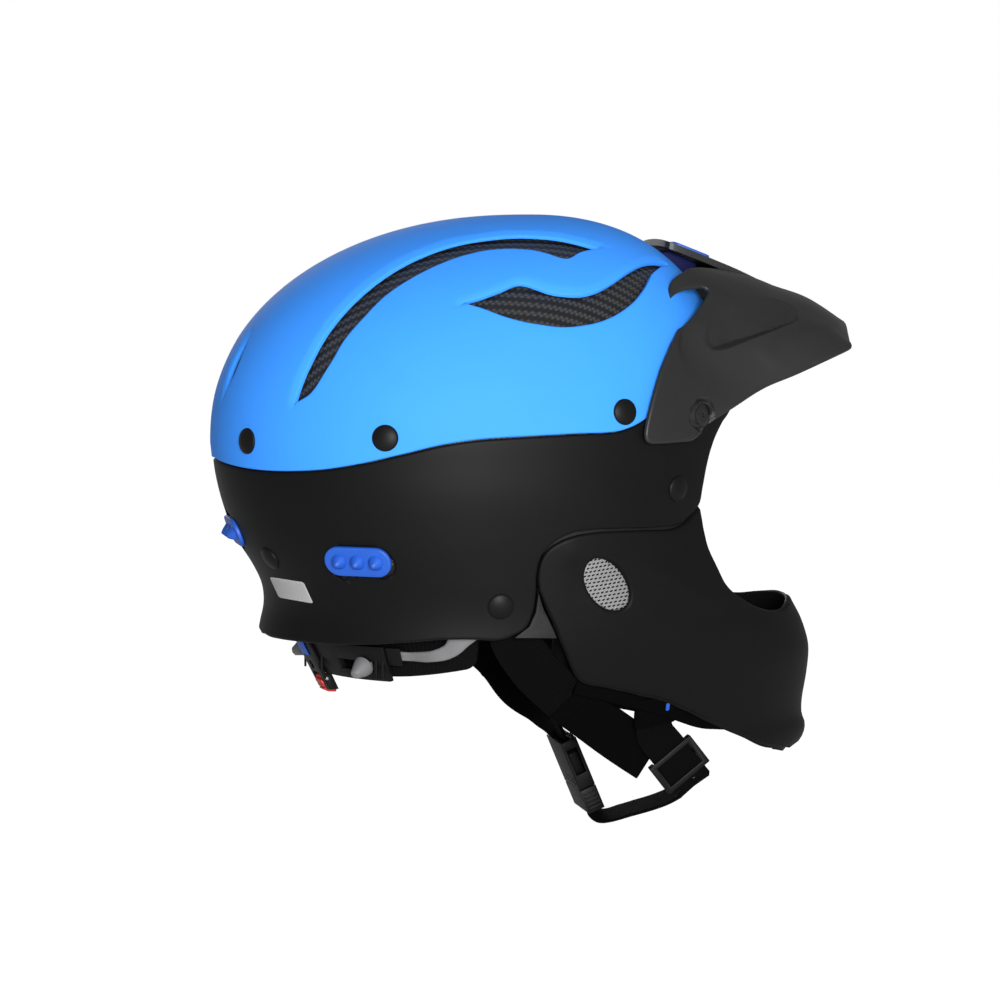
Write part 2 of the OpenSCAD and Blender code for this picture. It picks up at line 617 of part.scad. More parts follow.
module chin_guard() {
    rows = 7;
    function grid(deep) = [for (k = [0:rows]) both([for (i = [0:len(guard_top) - 1])
        let (q = mix(guard_top[i], guard_low[i], k / rows)) guard(q[0], q[1], deep)])];
    color("#262627") difference() {
        sheet(grid(0), grid(guard_t));
        pair() on_guard(ear_at[0], ear_at[1], 8) rotate([0, 0, ear_lean])
            linear_extrude(12) polygon(oval(ear_l / 2, ear_w / 2));
    }
}
function oval(a, b, n = 32) = [for (i = [0:n - 1]) [a * cos(i * 360 / n), b * sin(i * 360 / n)]];

// Perforated plate in the ear vent
module ear_mesh() {
    a = ear_l / 2 - cap_gap;
    b = ear_w / 2 - cap_gap;
    hole = (mesh_pitch - mesh_wire) / 2;
    rim = mesh_wire + hole;
    spots = [for (i = [-8:8], j = [-8:8])
        let (x = (i + (j % 2) / 2) * mesh_pitch, y = j * mesh_pitch * 0.866)
        if (pow(x / (a - rim), 2) + pow(y / (b - rim), 2) < 1) [x, y]];
    rim_loop = oval(a, b);
    m = len(rim_loop);
    points = concat(rim_loop, [for (s = spots, k = [0:5])
        s + 1.1 * hole * [cos(60 * k + 30), sin(60 * k + 30)]]);
    loops = concat([[for (i = [0:m - 1]) i]],
                   [for (s = [0:len(spots) - 1]) [for (k = [0:5]) m + s * 6 + k]]);
    color("silver") on_guard(ear_at[0], ear_at[1], guard_t) rotate([0, 0, ear_lean])
        linear_extrude(mesh_t) polygon(points, loops);
}
module ear_mesh_right() { ear_mesh(); }
module ear_mesh_left() { mirror([1, 0, 0]) ear_mesh(); }

// Three-cornered filler between the lower shell's round corner and the guard
wedge_shell = [[86.3, 122.4], [86, 124], [86.3, 128.5], [87.6, 132], [90.5, 134.6]];
wedge_guard = [[-5, -70.5], [-3.9, -75], [-2.6, -80], [-1.3, -85], [-0.2, -89.3]];
module filler_wedge() {
    function row(k, deep) = let (a = shell(wedge_shell[k][0], wedge_shell[k][1], skin_step + deep),
                                 b = guard(wedge_guard[k][0], wedge_guard[k][1], deep))
        [for (t = [0:0.25:1]) mix(b, a, t)];
    color("#2a2a2b") sheet([for (k = [0:4]) row(k, 0.6)], [for (k = [0:4]) row(k, 0.6 + skin_t)]);
}
module filler_wedge_right() { filler_wedge(); }
module filler_wedge_left() { mirror([1, 0, 0]) filler_wedge(); }

// Foam between the headings and polar angles given in rows of [heading, top, bottom]
module foam(rows_of, out, in, rows = 4) {
    sheet([for (k = [0:rows]) [for (q = rows_of) shell(q[0], mix(q[1], q[2], k / rows), out)]],
          [for (k = [0:rows]) [for (q = rows_of) shell(q[0], mix(q[1], q[2], k / rows), in)]]);
}
band_shape = [for (h = [54:8:174]) [h, 62, h < 80 ? 98 : h < 92 ? 109 : 121]];
band_rows = concat(band_shape, [[180, 62, 121]], [for (i = [len(band_shape) - 1:-1:0])
    [360 - band_shape[i][0], band_shape[i][1], band_shape[i][2]]]);
module liner_band() { color("#333333") foam(band_rows, liner_out, liner_in, 7); }
module liner_brow() {
    color("#333333") foam([for (h = [-42:7:42]) [h, 62, 74.5 + 6 * pow(h / 42, 2)]], liner_out, liner_in, 2);
}
module cap_foam(low, out, in, cols, rows) {
    function grid(deep) = [for (k = [0:rows]) [for (j = [0:cols - 1])
        shell(j * 360 / cols, mix(10, low, k / rows), deep)]];
    sheet(grid(out), grid(in), closed = true, poles = [shell(0, 0, out), shell(0, 0, in)]);
}
module liner_crown() { color("#333333") cap_foam(61, liner_out, liner_in, 36, 5); }
module crown_pad() { color("#1e1e1e") cap_foam(34, pad_out, pad_in, 24, 3); }
module brow_pad() {
    color("#1e1e1e") foam([for (h = [-42:7:42]) [h, 63, 74 + 5 * pow(h / 42, 2)]], pad_out, pad_in, 2);
}
module rear_pad() {
    color("#1e1e1e") foam([for (h = [150:7.5:210]) [h, 66, 104]], pad_out, pad_in, 4);
}
module side_pad() {
    color("#1e1e1e") foam([for (h = [60:8:132]) [h, 66, h < 80 ? 94 : 100]], pad_out, pad_in, 3);
}
module side_pad_right() { side_pad(); }
module side_pad_left() { mirror([1, 0, 0]) side_pad(); }

// Cheek pad inside the guard, with a soft belly
module cheek_pad() {
    rows = 5;
    function belly(t) = 1 - 0.35 * pow(2 * t - 1, 4);
    color("#1b1b1b") sheet(
        [for (k = [0:rows]) [for (q = cheek) guard(q[0], mix(q[1], q[2], k / rows), cheek_in)]],
        [for (k = [0:rows]) [for (q = cheek)
            guard(q[0], mix(q[1], q[2], k / rows), cheek_in + cheek_t * belly(k / rows))]]);
}
module cheek_pad_right() { cheek_pad(); }
module cheek_pad_left() { mirror([1, 0, 0]) cheek_pad(); }
module chin_foam() {
    rows = 3;
    function grid(deep) = [for (k = [0:rows]) both([for (a = [90:-6:54])
        guard(a, mix(-92 - 0.12 * (90 - a), -150 + 0.5 * (90 - a), k / rows), deep)])];
    color("#1b1b1b") sheet(grid(guard_t + chin_gap), grid(guard_t + chin_gap + chin_foam_t));
}

// Peak: three rails, bent into a smooth sheet
peak_lift = peak_t + peak_gap;
function fit(p) = [p[0] * shell_w / drawn_w, p[1] * shell_front / drawn_front,
                   p[2] * crown_h / drawn_crown];
function rail(q) = len(q) == 3 ? fit(q) : shell(q[0], q[1]) + peak_lift * shell_normal(q[0], q[1]);
function along(r, u) =
    let (t = u * (len(r) - 1), i = min(floor(t), len(r) - 2), w = t - i,
         a = rail(r[max(i - 1, 0)]), b = rail(r[i]), d = rail(r[i + 1]), e = rail(r[min(i + 2, len(r) - 1)]))
    (2 * b + (d - a) * w + (2 * a - 5 * b + 4 * d - e) * w * w + (3 * b - a - 3 * d + e) * w * w * w) / 2;
peak_mid_row = [for (u = peak_share) along(peak_mid, u)];
peak_front_row = [for (u = peak_share) along(peak_front, u)];
function peak_at(i, v) =
    rail(peak_rear[i]) * (1 - v) * (1 - 2 * v) + peak_mid_row[i] * 4 * v * (1 - v)
    + peak_front_row[i] * v * (2 * v - 1);
function peak_half(v) = [for (i = [0:len(peak_rear) - 1]) peak_at(i, v)];
function peak_row(v) = both(peak_half(v));
function peak_normal(rows_of, k, j) =
    let (a = rows_of[k], up = rows_of[max(k - 1, 0)], down = rows_of[min(k + 1, len(rows_of) - 1)],
         n = cross(a[min(j + 1, len(a) - 1)] - a[max(j - 1, 0)], down[j] - up[j]))
    n / norm(n);
// Round recess of the peak that a screw's head lies in
recess_floor = peak_lift + 0.3;
module peak() {
    rows = 6;
    grid = [for (k = [0:rows]) peak_row(k / rows)];
    inner = [for (k = [0:rows]) [for (j = [0:len(grid[0]) - 1])
        grid[k][j] - peak_t * peak_normal(grid, k, j)]];
    color("#2b2b2c") difference() {
        union() {
            sheet(grid, inner);
            tongue();
        }
        pair() screw_line() {
            cylinder(h = 4 * peak_lift, d = screw_d + 2 * screw_fit, center = true, $fn = facets);
            translate([0, 0, recess_floor]) cylinder(h = peak_lift, d = screw_head_d + 1, $fn = facets);
        }
    }
}
// Plate that stands proud of the crown and runs forward into the peak
module tongue() {
    last = len(tongue_line) - 1;
    function row(k, drop) = both([for (s = [0, 0.3, 0.6, 0.85, 1])
        let (p = tongue_line[k], w = tongue_w * (1 - 0.25 * k / last))
        fit([-w * s, p[0] - (k == 0 ? 5 * pow(s, 4) : 0), p[1] - 1.8 * pow(s, 2) - drop])]);
    sheet([for (k = [0:last]) row(k, 0)], [for (k = [0:last]) row(k, peak_t)]);
}
// Screws of the peak, square to the shell; it tips about the line between them
module screw_line() {
    on_shell(screw_at[0], screw_at[1]) children();
}
module peak_badge() {
    color("#2f76e0") translate(fit([0, -112, 94.4])) rotate([21, 0, 0])
        hull() for (s = [-1, 1], t = [-1, 1])
            translate([s * (badge_w / 2 - badge_r), t * (badge_l / 2 - badge_r), 0])
                cylinder(h = badge_t, r = badge_r, $fn = 24);
}
screw_seat = recess_floor + 0.3;
module peak_screws() {
    color("#3a3a3b") pair() screw_line() {
        translate([0, 0, screw_seat]) cylinder(h = 0.8, d = screw_head_d, $fn = facets);
        translate([0, 0, screw_seat]) cylinder(h = 1.9, d = screw_head_d - 3.2, $fn = facets);
        translate([0, 0, -carbon_in - 3.4])
            cylinder(h = carbon_in + 3.4 + screw_seat, d = screw_d, $fn = facets);
    }
}
module screw_ring(from, to, d) {
    color("#3a3a3b") pair() screw_line() difference() {
        translate([0, 0, from]) cylinder(h = to - from, d = d, $fn = facets);
        translate([0, 0, from - 1]) cylinder(h = to - from + 2, d = screw_d + 2 * cap_gap, $fn = facets);
    }
}
module peak_spacers() { screw_ring(0.4 - skin_step, peak_gap - 0.9, spacer_d); }
module peak_nuts() { screw_ring(-carbon_in - 3.2, -carbon_in - 0.8, spacer_d - 1); }

// Cradle: everything is drawn round its own centre and then turned
module in_cradle() {
    rotate([0, 0, cradle_turn]) translate([0, cradle_y, cradle_top]) children();
}
function cradle_face(drop, deep = 0) = cradle_r - deep - cradle_slant * drop;
// Part of a ring, from one angle to another, seen from the rear middle to the right
module arc(from, to) {
    rotate([0, 0, 90 + from]) rotate_extrude(angle = to - from, $fn = 96) children();
}
module wall(drop, high, deep, thick) {
    polygon([[cradle_face(drop, deep + thick), -drop], [cradle_face(drop, deep), -drop],
             [cradle_face(drop + high, deep), -drop - high],
             [cradle_face(drop + high, deep + thick), -drop - high]]);
}
slot_drop = (cradle_h - slot_h) / 2 + 1.5;
fin_deg = fin_travel / cradle_r * 57.3;
module cradle_housing() {
    color("#222223") in_cradle() difference() {
        arc(-cradle_span, cradle_span) wall(0, cradle_h, 0, cradle_t);
        pair() arc(fin_angle - fin_deg - 7, fin_angle + 5.5)
            wall(slot_drop - cap_gap, slot_h + 2 * cap_gap, -1, cradle_t + 2);
    }
}
module cradle_spine() {
    ear_out = cradle_face(spine_drop + 0.4, -2.6);
    color("#1f1f20") in_cradle() difference() {
        union() {
            arc(-spine_half, spine_half) wall(0.4, spine_drop, -spine_t - housing_slit, spine_t);
            arc(-spine_half, spine_half)
                wall(cradle_h + housing_slit, spine_drop + 0.4 - cradle_h - housing_slit, -spine_t, 5);
        }
        translate([0, 0, -spine_hole_drop]) rotate([-90, 0, 0])
            cylinder(h = cradle_r + 10, d = spine_hole_d, $fn = facets);
        translate([-lever_w / 2 - housing_slit, 0, -spine_drop - 1])
            cube([lever_w + 2 * housing_slit, cradle_r + 10, spine_drop + 1 - lever_drop + lever_r + 0.6]);
        translate([0, lever_y, -lever_drop]) rotate([0, 90, 0])
            cylinder(h = 30, d = pin_d + 0.04, center = true, $fn = facets);
    }
}
module spine_inlay() {
    color("#2f55d8") in_cradle() arc(-3.6, 3.6) wall(1.2, 8, -spine_t - 1.2, 0.6);
}
// Loop at each end of the housing that holds an arm
module arm_keepers() {
    color("#222223") in_cradle() pair() difference() {
        arc(cradle_span + housing_slit, cradle_span + 6) wall(0.4, keeper_h, 1.2, 4.6);
        arc(cradle_span, cradle_span + 7)
            wall(arm_drop - arm_w / 2 - 2 * housing_slit, arm_w + 4 * housing_slit,
                 arm_deep - arm_t / 2 - 2 * housing_slit, arm_t + 4 * housing_slit);
    }
}
// Grey cone with one cut side, whose stem runs in the slot
module fin(side) {
    mid = cradle_face(slot_drop + slot_h / 2);
    color("#a2a2a2") in_cradle() {
        rotate([0, 0, side * fin_angle]) translate([0, mid + 0.6, -slot_drop - slot_h / 2]) rotate([-90 - 26, 0, 0])
            intersection() {
                rotate_extrude($fn = facets)
                    polygon([[0, 0], [fin_h / 2, 0], [fin_h / 2 - 0.6, 2.4], [2.2, fin_out - 1], [0, fin_out]]);
                translate([-side * 2.6, 0, 0]) cube([fin_h, fin_h + 2, 3 * fin_out], center = true);
            }
        arc(side * fin_angle - 2.6, side * fin_angle + 2.6)
            wall(slot_drop + cap_gap, slot_h - 2 * cap_gap, -0.8, cradle_t - 0.4);
    }
}
module rack_fin_right() { fin(1); }
module rack_fin_left() { fin(-1); }
module nape_pad() {
    color("#161616") in_cradle() arc(-nape_span, nape_span) wall(0, nape_h, cradle_t + 2.4, nape_t);
}
lever_y = cradle_face(lever_drop) + 0.1;
module release_lever() {
    d = lever_drop;
    tab = [[cradle_face(d) + 2.5, -d], [cradle_face(d) + 2.6, -d - 2], [cradle_face(d + 5) + 3, -d - 4.4],
           [cradle_face(d + 5) + 1.6, -d - 6.8], [cradle_face(d + 5) - 3, -d - 7.2],
           [cradle_face(d + 5) - 3.4, -d - 5], [cradle_face(d) - 2.3, -d]];
    color("#d2321e") in_cradle() difference() {
        rotate([90, 0, 90]) translate([0, 0, -lever_w / 2]) linear_extrude(lever_w) union() {
            polygon(tab);
            translate([lever_y, -d]) circle(r = lever_r, $fn = facets);
        }
        translate([0, lever_y, -d]) rotate([0, 90, 0])
            cylinder(h = 2 * lever_w, d = pin_d + 2 * pin_fit, center = true, $fn = facets);
    }
}
module lever_pin() {
    color("silver") in_cradle() translate([0, lever_y, -lever_drop]) rotate([0, 90, 0])
        cylinder(h = lever_w + 5, d = pin_d, center = true, $fn = facets);
}

// A flat strip along a route, with its own width and thickness
function unit(v) = v / norm(v);
function route_at(r, i, u, c) =
    let (a = r[max(i - 1, 0)][c], b = r[i][c], d = r[i + 1][c], e = r[min(i + 2, len(r) - 1)][c])
    ((2 * b) + (d - a) * u + (2 * a - 5 * b + 4 * d - e) * pow(u, 2) + (3 * b - a - 3 * d + e) * pow(u, 3)) / 2;
function route_points(r, c, steps = 2) = concat(
    [for (i = [0:len(r) - 2], k = [0:steps - 1]) route_at(r, i, k / steps, c)], [r[len(r) - 1][c]]);
// A width written in the route's third place goes before the common one
module ribbon(route, wide, thick) {
    line = route_points(route, 0);
    side = [for (v = route_points(route, 1)) unit(v)];
    n = len(line);
    half = len(route[0]) > 2 ? route_points(route, 2) / 2 : [for (i = [1:n]) wide / 2];
    ahead = [for (i = [0:n - 1]) unit(line[min(i + 1, n - 1)] - line[max(i - 1, 0)])];
    flat = [for (i = [0:n - 1]) unit(side[i] - ahead[i] * (side[i] * ahead[i]))];
    up = [for (i = [0:n - 1]) cross(flat[i], ahead[i])];
    function row(s, t) = [for (i = [0:n - 1]) line[i] + flat[i] * s * half[i] + up[i] * t * thick / 2];
    sheet([row(1, 1), row(-1, 1)], [row(1, -1), row(-1, -1)]);
}
module rear_strap_right() { color("#151515") ribbon(rear_right_route, web_w, web_t); }
module rear_strap_left() { color("#151515") ribbon(rear_left_route, web_w, web_t); }
module front_strap_right() { color("#151515") ribbon(front_right_route, front_web_w, web_t); }
module front_strap_left() { color("#151515") ribbon(front_left_route, front_web_w, web_t); }
module chin_strap() { color("#151515") ribbon(chin_route, front_web_w, web_t); }

// Slider: a frame in front of the web and one bar behind it
module strap_slider() {
    high = front_web_w + 1.2;
    room = web_t + 1;
    color("#202021") translate(slider_at) rotate([-slider_tilt, 0, 0]) difference() {
        cube([slider_t, high + 2 * slider_side, slider_l], center = true);
        cube([room, high, slider_l + 1], center = true);
        translate([-slider_t / 2, 0, 0]) cube([slider_t, high, slider_l - 2 * slider_bar], center = true);
        for (side = [-1, 1]) translate([slider_t / 2, 0, side * slider_l / 2])
            cube([slider_t, high, slider_l - slider_bar], center = true);
    }
}
module buckle_frame() {
    translate(buckle_at) rotate([buckle_tilt, 0, 0]) children();
}
inner_w = buckle_w - 7;
inner_t = buckle_t - 2 * wall_t;
module middle_box(w, t, from, to) {
    translate([-w / 2, -t / 2, from]) cube([w, t, to - from]);
}
module buckle_socket() {
    color("#202021") buckle_frame() difference() {
        union() {
            middle_box(buckle_w, buckle_t, 0, socket_l);
            translate([0, 0, socket_l - 5]) rotate([90, 0, 0]) translate([0, 0, buckle_t / 2 - 1])
                cylinder(h = 2, d = boss_d, $fn = facets);
        }
        middle_box(inner_w, inner_t, -1, window_high + 1);
        middle_box(2 * buckle_w, inner_t, window_low, window_high);
        middle_box(web_w + 2.6, web_t + 2.4, socket_l - 3.6, socket_l + 1);
    }
}
module buckle_plug() {
    seat = prong_r + prong_gap;
    x0 = inner_w / 2 - prong_in;
    color("#202021") buckle_frame() difference() {
        union() {
            middle_box(buckle_w, buckle_t, -plug_l - 0.4, -0.4);
            middle_box(4.4, inner_t - 0.6, -1, window_high - 3);
        }
        middle_box(web_w + 1.2, web_t + 1, -plug_l - 1, -6.4);
        pair() {
            translate([x0, 0, -prong_pivot]) rotate([90, 0, 0])
                cylinder(h = inner_t, r = seat, center = true, $fn = facets);
            translate([x0 - seat + 0.5, -inner_t / 2, -prong_pivot]) cube([2 * seat - 0.5, inner_t, 4]);
        }
    }
}
// Springy side prong, whose shoulder catches the window's edge
module prong() {
    x0 = inner_w / 2 - prong_in;
    thick = inner_t - 2 * prong_gap;
    color("#202021") buckle_frame() rotate([90, 0, 0]) translate([0, 0, -thick / 2]) linear_extrude(thick)
        polygon(concat([for (a = [180:15:360]) [x0 + prong_r * cos(a), prong_r * sin(a) - prong_pivot]],
            [[x0 + prong_r, window_low - 1.4], [x0 + prong_r + 0.5, window_low],
             [x0 + prong_r + 1.6, prong_l - 2], [x0 + 2.8, prong_l], [x0 + 1, prong_l], [x0 - 0.6, 6]]));
}
module buckle_prong_a() { prong(); }
module buckle_prong_b() {
    translate([2 * buckle_at[0], 0, 0]) mirror([1, 0, 0]) prong();
}

// Plates that hold the straps to the carbon shell and to the chin guard
module anchor_plate(deep) {
    translate([0, 0, -deep]) {
        translate([-anchor_l / 2, -anchor_w / 2, -anchor_t]) cube([anchor_l, anchor_w, anchor_t]);
        translate([0, 0, -anchor_t - 1]) cylinder(h = 1, d = anchor_w - 2, $fn = facets);
    }
}
module rear_anchors() {
    color("#2a2a2b") pair() on_shell(rear_anchor[0], rear_anchor[1])
        anchor_plate(shell_strap_deep + web_t / 2 + strap_gap);
}
module front_anchors() {
    color("#2a2a2b") pair() on_guard(front_anchor[0], front_anchor[1])
        anchor_plate(guard_strap_deep + web_t / 2 + strap_gap);
}

// A place on the cradle as it hangs, by the angle to the wearer's right of the rear
function cradle_place(a, drop, deep) =
    let (r = cradle_face(drop, deep), t = cradle_turn, x = -r * sin(a), y = cradle_y + r * cos(a))
    [x * cos(t) - y * sin(t), x * sin(t) + y * cos(t), cradle_top - drop];
// Arm from its keeper on the cradle to its rivet inside the shell
arm_end = [99.5, 127];
arm_shell_deep = carbon_in + 1.3 + arm_t / 2;
function arm_shell(side, p) =
    let (q = shell(arm_end[0], p, arm_shell_deep)) side > 0 ? q : flip_x(q);
// Direction up along the housing's slanted face
function cradle_up(a) = unit(cradle_place(a, 0, 0) - cradle_place(a, 10, 0));
// Each place has its own width
function arm_start(a) = [cradle_place(a, arm_drop, arm_deep), cradle_up(a), arm_w];
function arm_route(side) = [
    arm_start(side * (cradle_span + 1.5)), arm_start(side * (cradle_span + 6)),
    arm_start(side * (cradle_span + 10)),
    [[-side * 77, side > 0 ? 38 : 41, -98.5], [0, 0.1, 1], 1.1 * arm_w],
    [[-side * 82, 30.5, -95.5], [0, 0.4, 1], 1.5 * arm_w],
    [[-side * 86, 25.5, -89], [0, 0.9, 0.4], 2.2 * arm_w],
    [arm_shell(side, arm_end[1] + 4), [0, 1, 0], 2.4 * arm_w],
    [arm_shell(side, arm_end[1] - 3), [0, 1, 0], 2.2 * arm_w]];
module cradle_arm_right() { color("#a2a2a2") ribbon(arm_route(1), arm_w, arm_t); }
module cradle_arm_left() { color("#a2a2a2") ribbon(arm_route(-1), arm_w, arm_t); }
module arm_rivets() {
    color("#8a8a8a") pair() on_shell(arm_end[0], arm_end[1])
        translate([0, 0, -arm_shell_deep - arm_t / 2 - strap_gap - rivet_h])
            cylinder(h = rivet_h, d = rivet_d, $fn = facets);
}
// Strip that hangs the cradle from the rear of the liner
hanger_deep = liner_in + 1 + hanger_t / 2;
hanger_end = [178, 111];
hanger_route = [[shell(hanger_end[0], hanger_end[1] - 3, hanger_deep), [1, 0, 0]],
                [shell(hanger_end[0], hanger_end[1] + 4, hanger_deep), [1, 0.05, 0]],
                [shell(hanger_end[0] + 1, hanger_end[1] + 11, hanger_deep + 1), [1, 0.1, 0]],
                [cradle_place(0, -12, cradle_t + 1.4), [1, 0.16, 0]],
                [cradle_place(0, 0, cradle_t + 1.4), [1, 0.18, 0]],
                [cradle_place(0, 10, cradle_t + 1.4), [1, 0.18, 0]]];
module cradle_hanger() { color("#222223") ribbon(hanger_route, hanger_w, hanger_t); }
module hanger_rivets() {
    color("#8a8a8a") for (k = [-1, 1]) on_shell(hanger_end[0] + 3.4 * k, hanger_end[1])
        translate([0, 0, -hanger_deep - hanger_t / 2 - strap_gap - rivet_h])
            cylinder(h = rivet_h, d = rivet_d, $fn = facets);
}

carbon_shell();
top_shell();
lower_shell();
top_snap_caps();
lower_snap_caps();
stud_pad_right();
stud_pad_left();
stud_pad_rear();
label_patch();
chin_guard();
ear_mesh_right();
ear_mesh_left();
filler_wedge_right();
filler_wedge_left();
liner_crown();
liner_band();
liner_brow();
crown_pad();
brow_pad();
rear_pad();
side_pad_right();
side_pad_left();
cheek_pad_right();
cheek_pad_left();
chin_foam();
peak();
peak_badge();
peak_screws();
peak_spacers();
peak_nuts();
cradle_housing();
cradle_spine();
spine_inlay();
nape_pad();
arm_keepers();
cradle_hanger();
hanger_rivets();
cradle_arm_right();
cradle_arm_left();
arm_rivets();
rack_fin_right();
rack_fin_left();
release_lever();
lever_pin();
rear_anchors();
front_anchors();
rear_strap_right();
rear_strap_left();
front_strap_right();
front_strap_left();
chin_strap();
strap_slider();
buckle_socket();
buckle_plug();
buckle_prong_a();
buckle_prong_b();
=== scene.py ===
# %% [markdown]
# # A full face helmet, dressed for the camera
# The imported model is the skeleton: it gives each piece its place, its size and its motion. This
# file gives the pieces their looks. Everything is in metres, and every piece stays where the
# skeleton has it. The helmet looks along -Y, +Z is up, and +X is the wearer's left.

# %% Load the frame
import math

import bpy
import bmesh
import numpy as np
from mathutils import Matrix, Vector, kdtree
from mathutils.bvhtree import BVHTree
from mathutils.geometry import delaunay_2d_cdt


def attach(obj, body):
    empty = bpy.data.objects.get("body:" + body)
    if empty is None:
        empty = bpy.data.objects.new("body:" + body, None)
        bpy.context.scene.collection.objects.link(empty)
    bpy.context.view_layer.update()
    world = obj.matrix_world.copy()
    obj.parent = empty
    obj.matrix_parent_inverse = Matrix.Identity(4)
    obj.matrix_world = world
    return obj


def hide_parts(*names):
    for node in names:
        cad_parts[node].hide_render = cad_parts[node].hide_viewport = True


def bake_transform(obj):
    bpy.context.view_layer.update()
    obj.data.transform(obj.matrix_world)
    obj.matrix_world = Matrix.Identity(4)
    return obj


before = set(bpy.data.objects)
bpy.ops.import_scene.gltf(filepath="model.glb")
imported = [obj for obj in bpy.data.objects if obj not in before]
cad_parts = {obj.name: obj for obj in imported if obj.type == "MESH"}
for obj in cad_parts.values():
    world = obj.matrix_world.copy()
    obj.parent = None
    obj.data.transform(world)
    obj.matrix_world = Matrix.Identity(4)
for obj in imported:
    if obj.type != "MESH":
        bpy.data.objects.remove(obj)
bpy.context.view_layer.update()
MM = 0.001
print(len(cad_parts), "nodes in the frame")

# %% [markdown]
# ## Camera
# A product photograph is taken with a long lens from a little behind the side. The camera's place
# is written as two angles and a distance, so it can be checked against the outline by eye.

# %% Camera
AROUND = math.radians(13)
ABOVE = math.radians(5)
DISTANCE = 1.5
LENS = 106.9
outward = np.array([-math.cos(AROUND) * math.cos(ABOVE), math.sin(AROUND) * math.cos(ABOVE),
                    math.sin(ABOVE)])
rightward = np.array([-math.sin(AROUND), -math.cos(AROUND), 0])
upward = np.cross(outward, rightward)
aim = (13.1 * rightward - 30.3 * upward) * MM


def new_object(name, data):
    """An object in the scene that shows a mesh, a curve, a lamp or a camera."""
    piece = bpy.data.objects.new(name, data)
    bpy.context.collection.objects.link(piece)
    return piece


camera = new_object("camera", bpy.data.cameras.new("camera"))
camera.data.lens = LENS
camera.data.sensor_width = 36
camera.data.clip_end = 20
spot = aim + DISTANCE * outward
camera.matrix_world = Matrix([[rightward[i], upward[i], outward[i], spot[i]] for i in range(3)]
                             + [[0, 0, 0, 1]])
bpy.context.scene.camera = camera
print("camera at", [round(v, 3) for v in spot])

# %% [markdown]
# ## Making a mesh
# Small tools that the whole file uses: one makes a mesh object from points and faces, one sets
# which edges stay crisp, and one bakes modifiers, because a finished piece is a plain mesh.

# %% Mesh helpers
CRISP = math.radians(38)


def new_mesh(name, points, faces, uv=None, crisp=CRISP):
    """A smooth-shaded mesh object. uv holds one pair for each point."""
    mesh = bpy.data.meshes.new(name)
    mesh.from_pydata([tuple(p) for p in points], [], [tuple(int(i) for i in f) for f in faces])
    if uv is not None:
        layer = mesh.uv_layers.new(name="flat")
        corners = np.empty(len(mesh.loops), int)
        mesh.loops.foreach_get("vertex_index", corners)
        layer.data.foreach_set("uv", np.asarray(uv, float)[corners].ravel())
    mesh.shade_smooth()
    mesh.set_sharp_from_angle(angle=crisp)
    return new_object(name, mesh)


def bake(piece, crisp=CRISP):
    """Turns the modifiers of a piece into a plain mesh."""
    done = bpy.data.meshes.new_from_object(piece.evaluated_get(bpy.context.evaluated_depsgraph_get()))
    piece.modifiers.clear()
    piece.data = done
    done.shade_smooth()
    done.set_sharp_from_angle(angle=crisp)
    return piece


def coordinates(mesh):
    co = np.empty(len(mesh.vertices) * 3)
    mesh.vertices.foreach_get("co", co)
    return co.reshape(-1, 3)


def set_coordinates(mesh, co):
    mesh.vertices.foreach_set("co", co.ravel())
    mesh.update()


def round_edges(piece, width, steps=3, angle=35):
    """Rounds every crisp edge of a piece by a radius."""
    bevel = piece.modifiers.new("round", "BEVEL")
    bevel.width = width
    bevel.segments = steps
    bevel.limit_method = "ANGLE"
    bevel.angle_limit = math.radians(angle)
    bevel.harden_normals = False
    return bake(piece)


def dress(piece, material, body, *nodes):
    """Gives a piece its material, the body it moves with, if one, and its nodes."""
    piece.data.materials.clear()
    piece.data.materials.append(material)
    if body:
        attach(piece, body)
    if nodes:
        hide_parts(*nodes)
    return piece


def grid_faces(rows, cols, closed=False, start=0):
    """Quads of a grid whose rows run down and whose columns run to the right."""
    last = cols if closed else cols - 1
    return [(start + i * cols + j, start + (i + 1) * cols + j,
             start + (i + 1) * cols + (j + 1) % cols, start + i * cols + (j + 1) % cols)
            for i in range(rows - 1) for j in range(last)]

# %% [markdown]
# ## The form of the shell
# The skeleton's source draws the shell by a formula: a heading round the head and a polar angle
# down from the crown. The same formula is written again here, so that a finer surface lies
# exactly where the coarse one does. Its tables hold how far the skirt draws in.

# %% The shell by formula
REAR_INSET = [
    [90, 0], [98, 1.9], [106, 5.8], [114, 11.8], [121, 20.3], [126, 24.8], [131, 25.8], [136, 23.8],
    [140, 22.3]]
SIDE_INSET = [[90, 0], [100, 0.5], [110, 3], [120, 6.5], [130, 10], [140, 10.5]]
FRONT_INSET = [[90, 0], [105, 4], [120, 12], [140, 23]]


def curve(table, x):
    """Smooth value from a table of [place, value] pairs."""
    t = np.array(table, float)
    x = np.asarray(x, float)
    k = np.arange(len(t))
    before = np.maximum(k - 1, 0)
    after = np.minimum(k + 1, len(t) - 1)
    slope = (t[after, 1] - t[before, 1]) / (t[after, 0] - t[before, 0])
    i = np.clip(np.searchsorted(t[:, 0], x) - 1, 0, len(t) - 2)
    w = t[i + 1, 0] - t[i, 0]
    u = np.clip((x - t[i, 0]) / w, 0, 1)
    return ((2 * u**3 - 3 * u**2 + 1) * t[i, 1] + (u**3 - 2 * u**2 + u) * w * slope[i]
            + (3 * u**2 - 2 * u**3) * t[i + 1, 1] + (u**3 - u**2) * w * slope[i + 1])


def bulge(p, n):
    c = np.maximum(np.cos(np.radians(np.minimum(p, 90))), 0)
    return (1 - c**n) ** (1 / n)


def signed_power(v, k):
    return np.sign(v) * np.abs(v) ** k


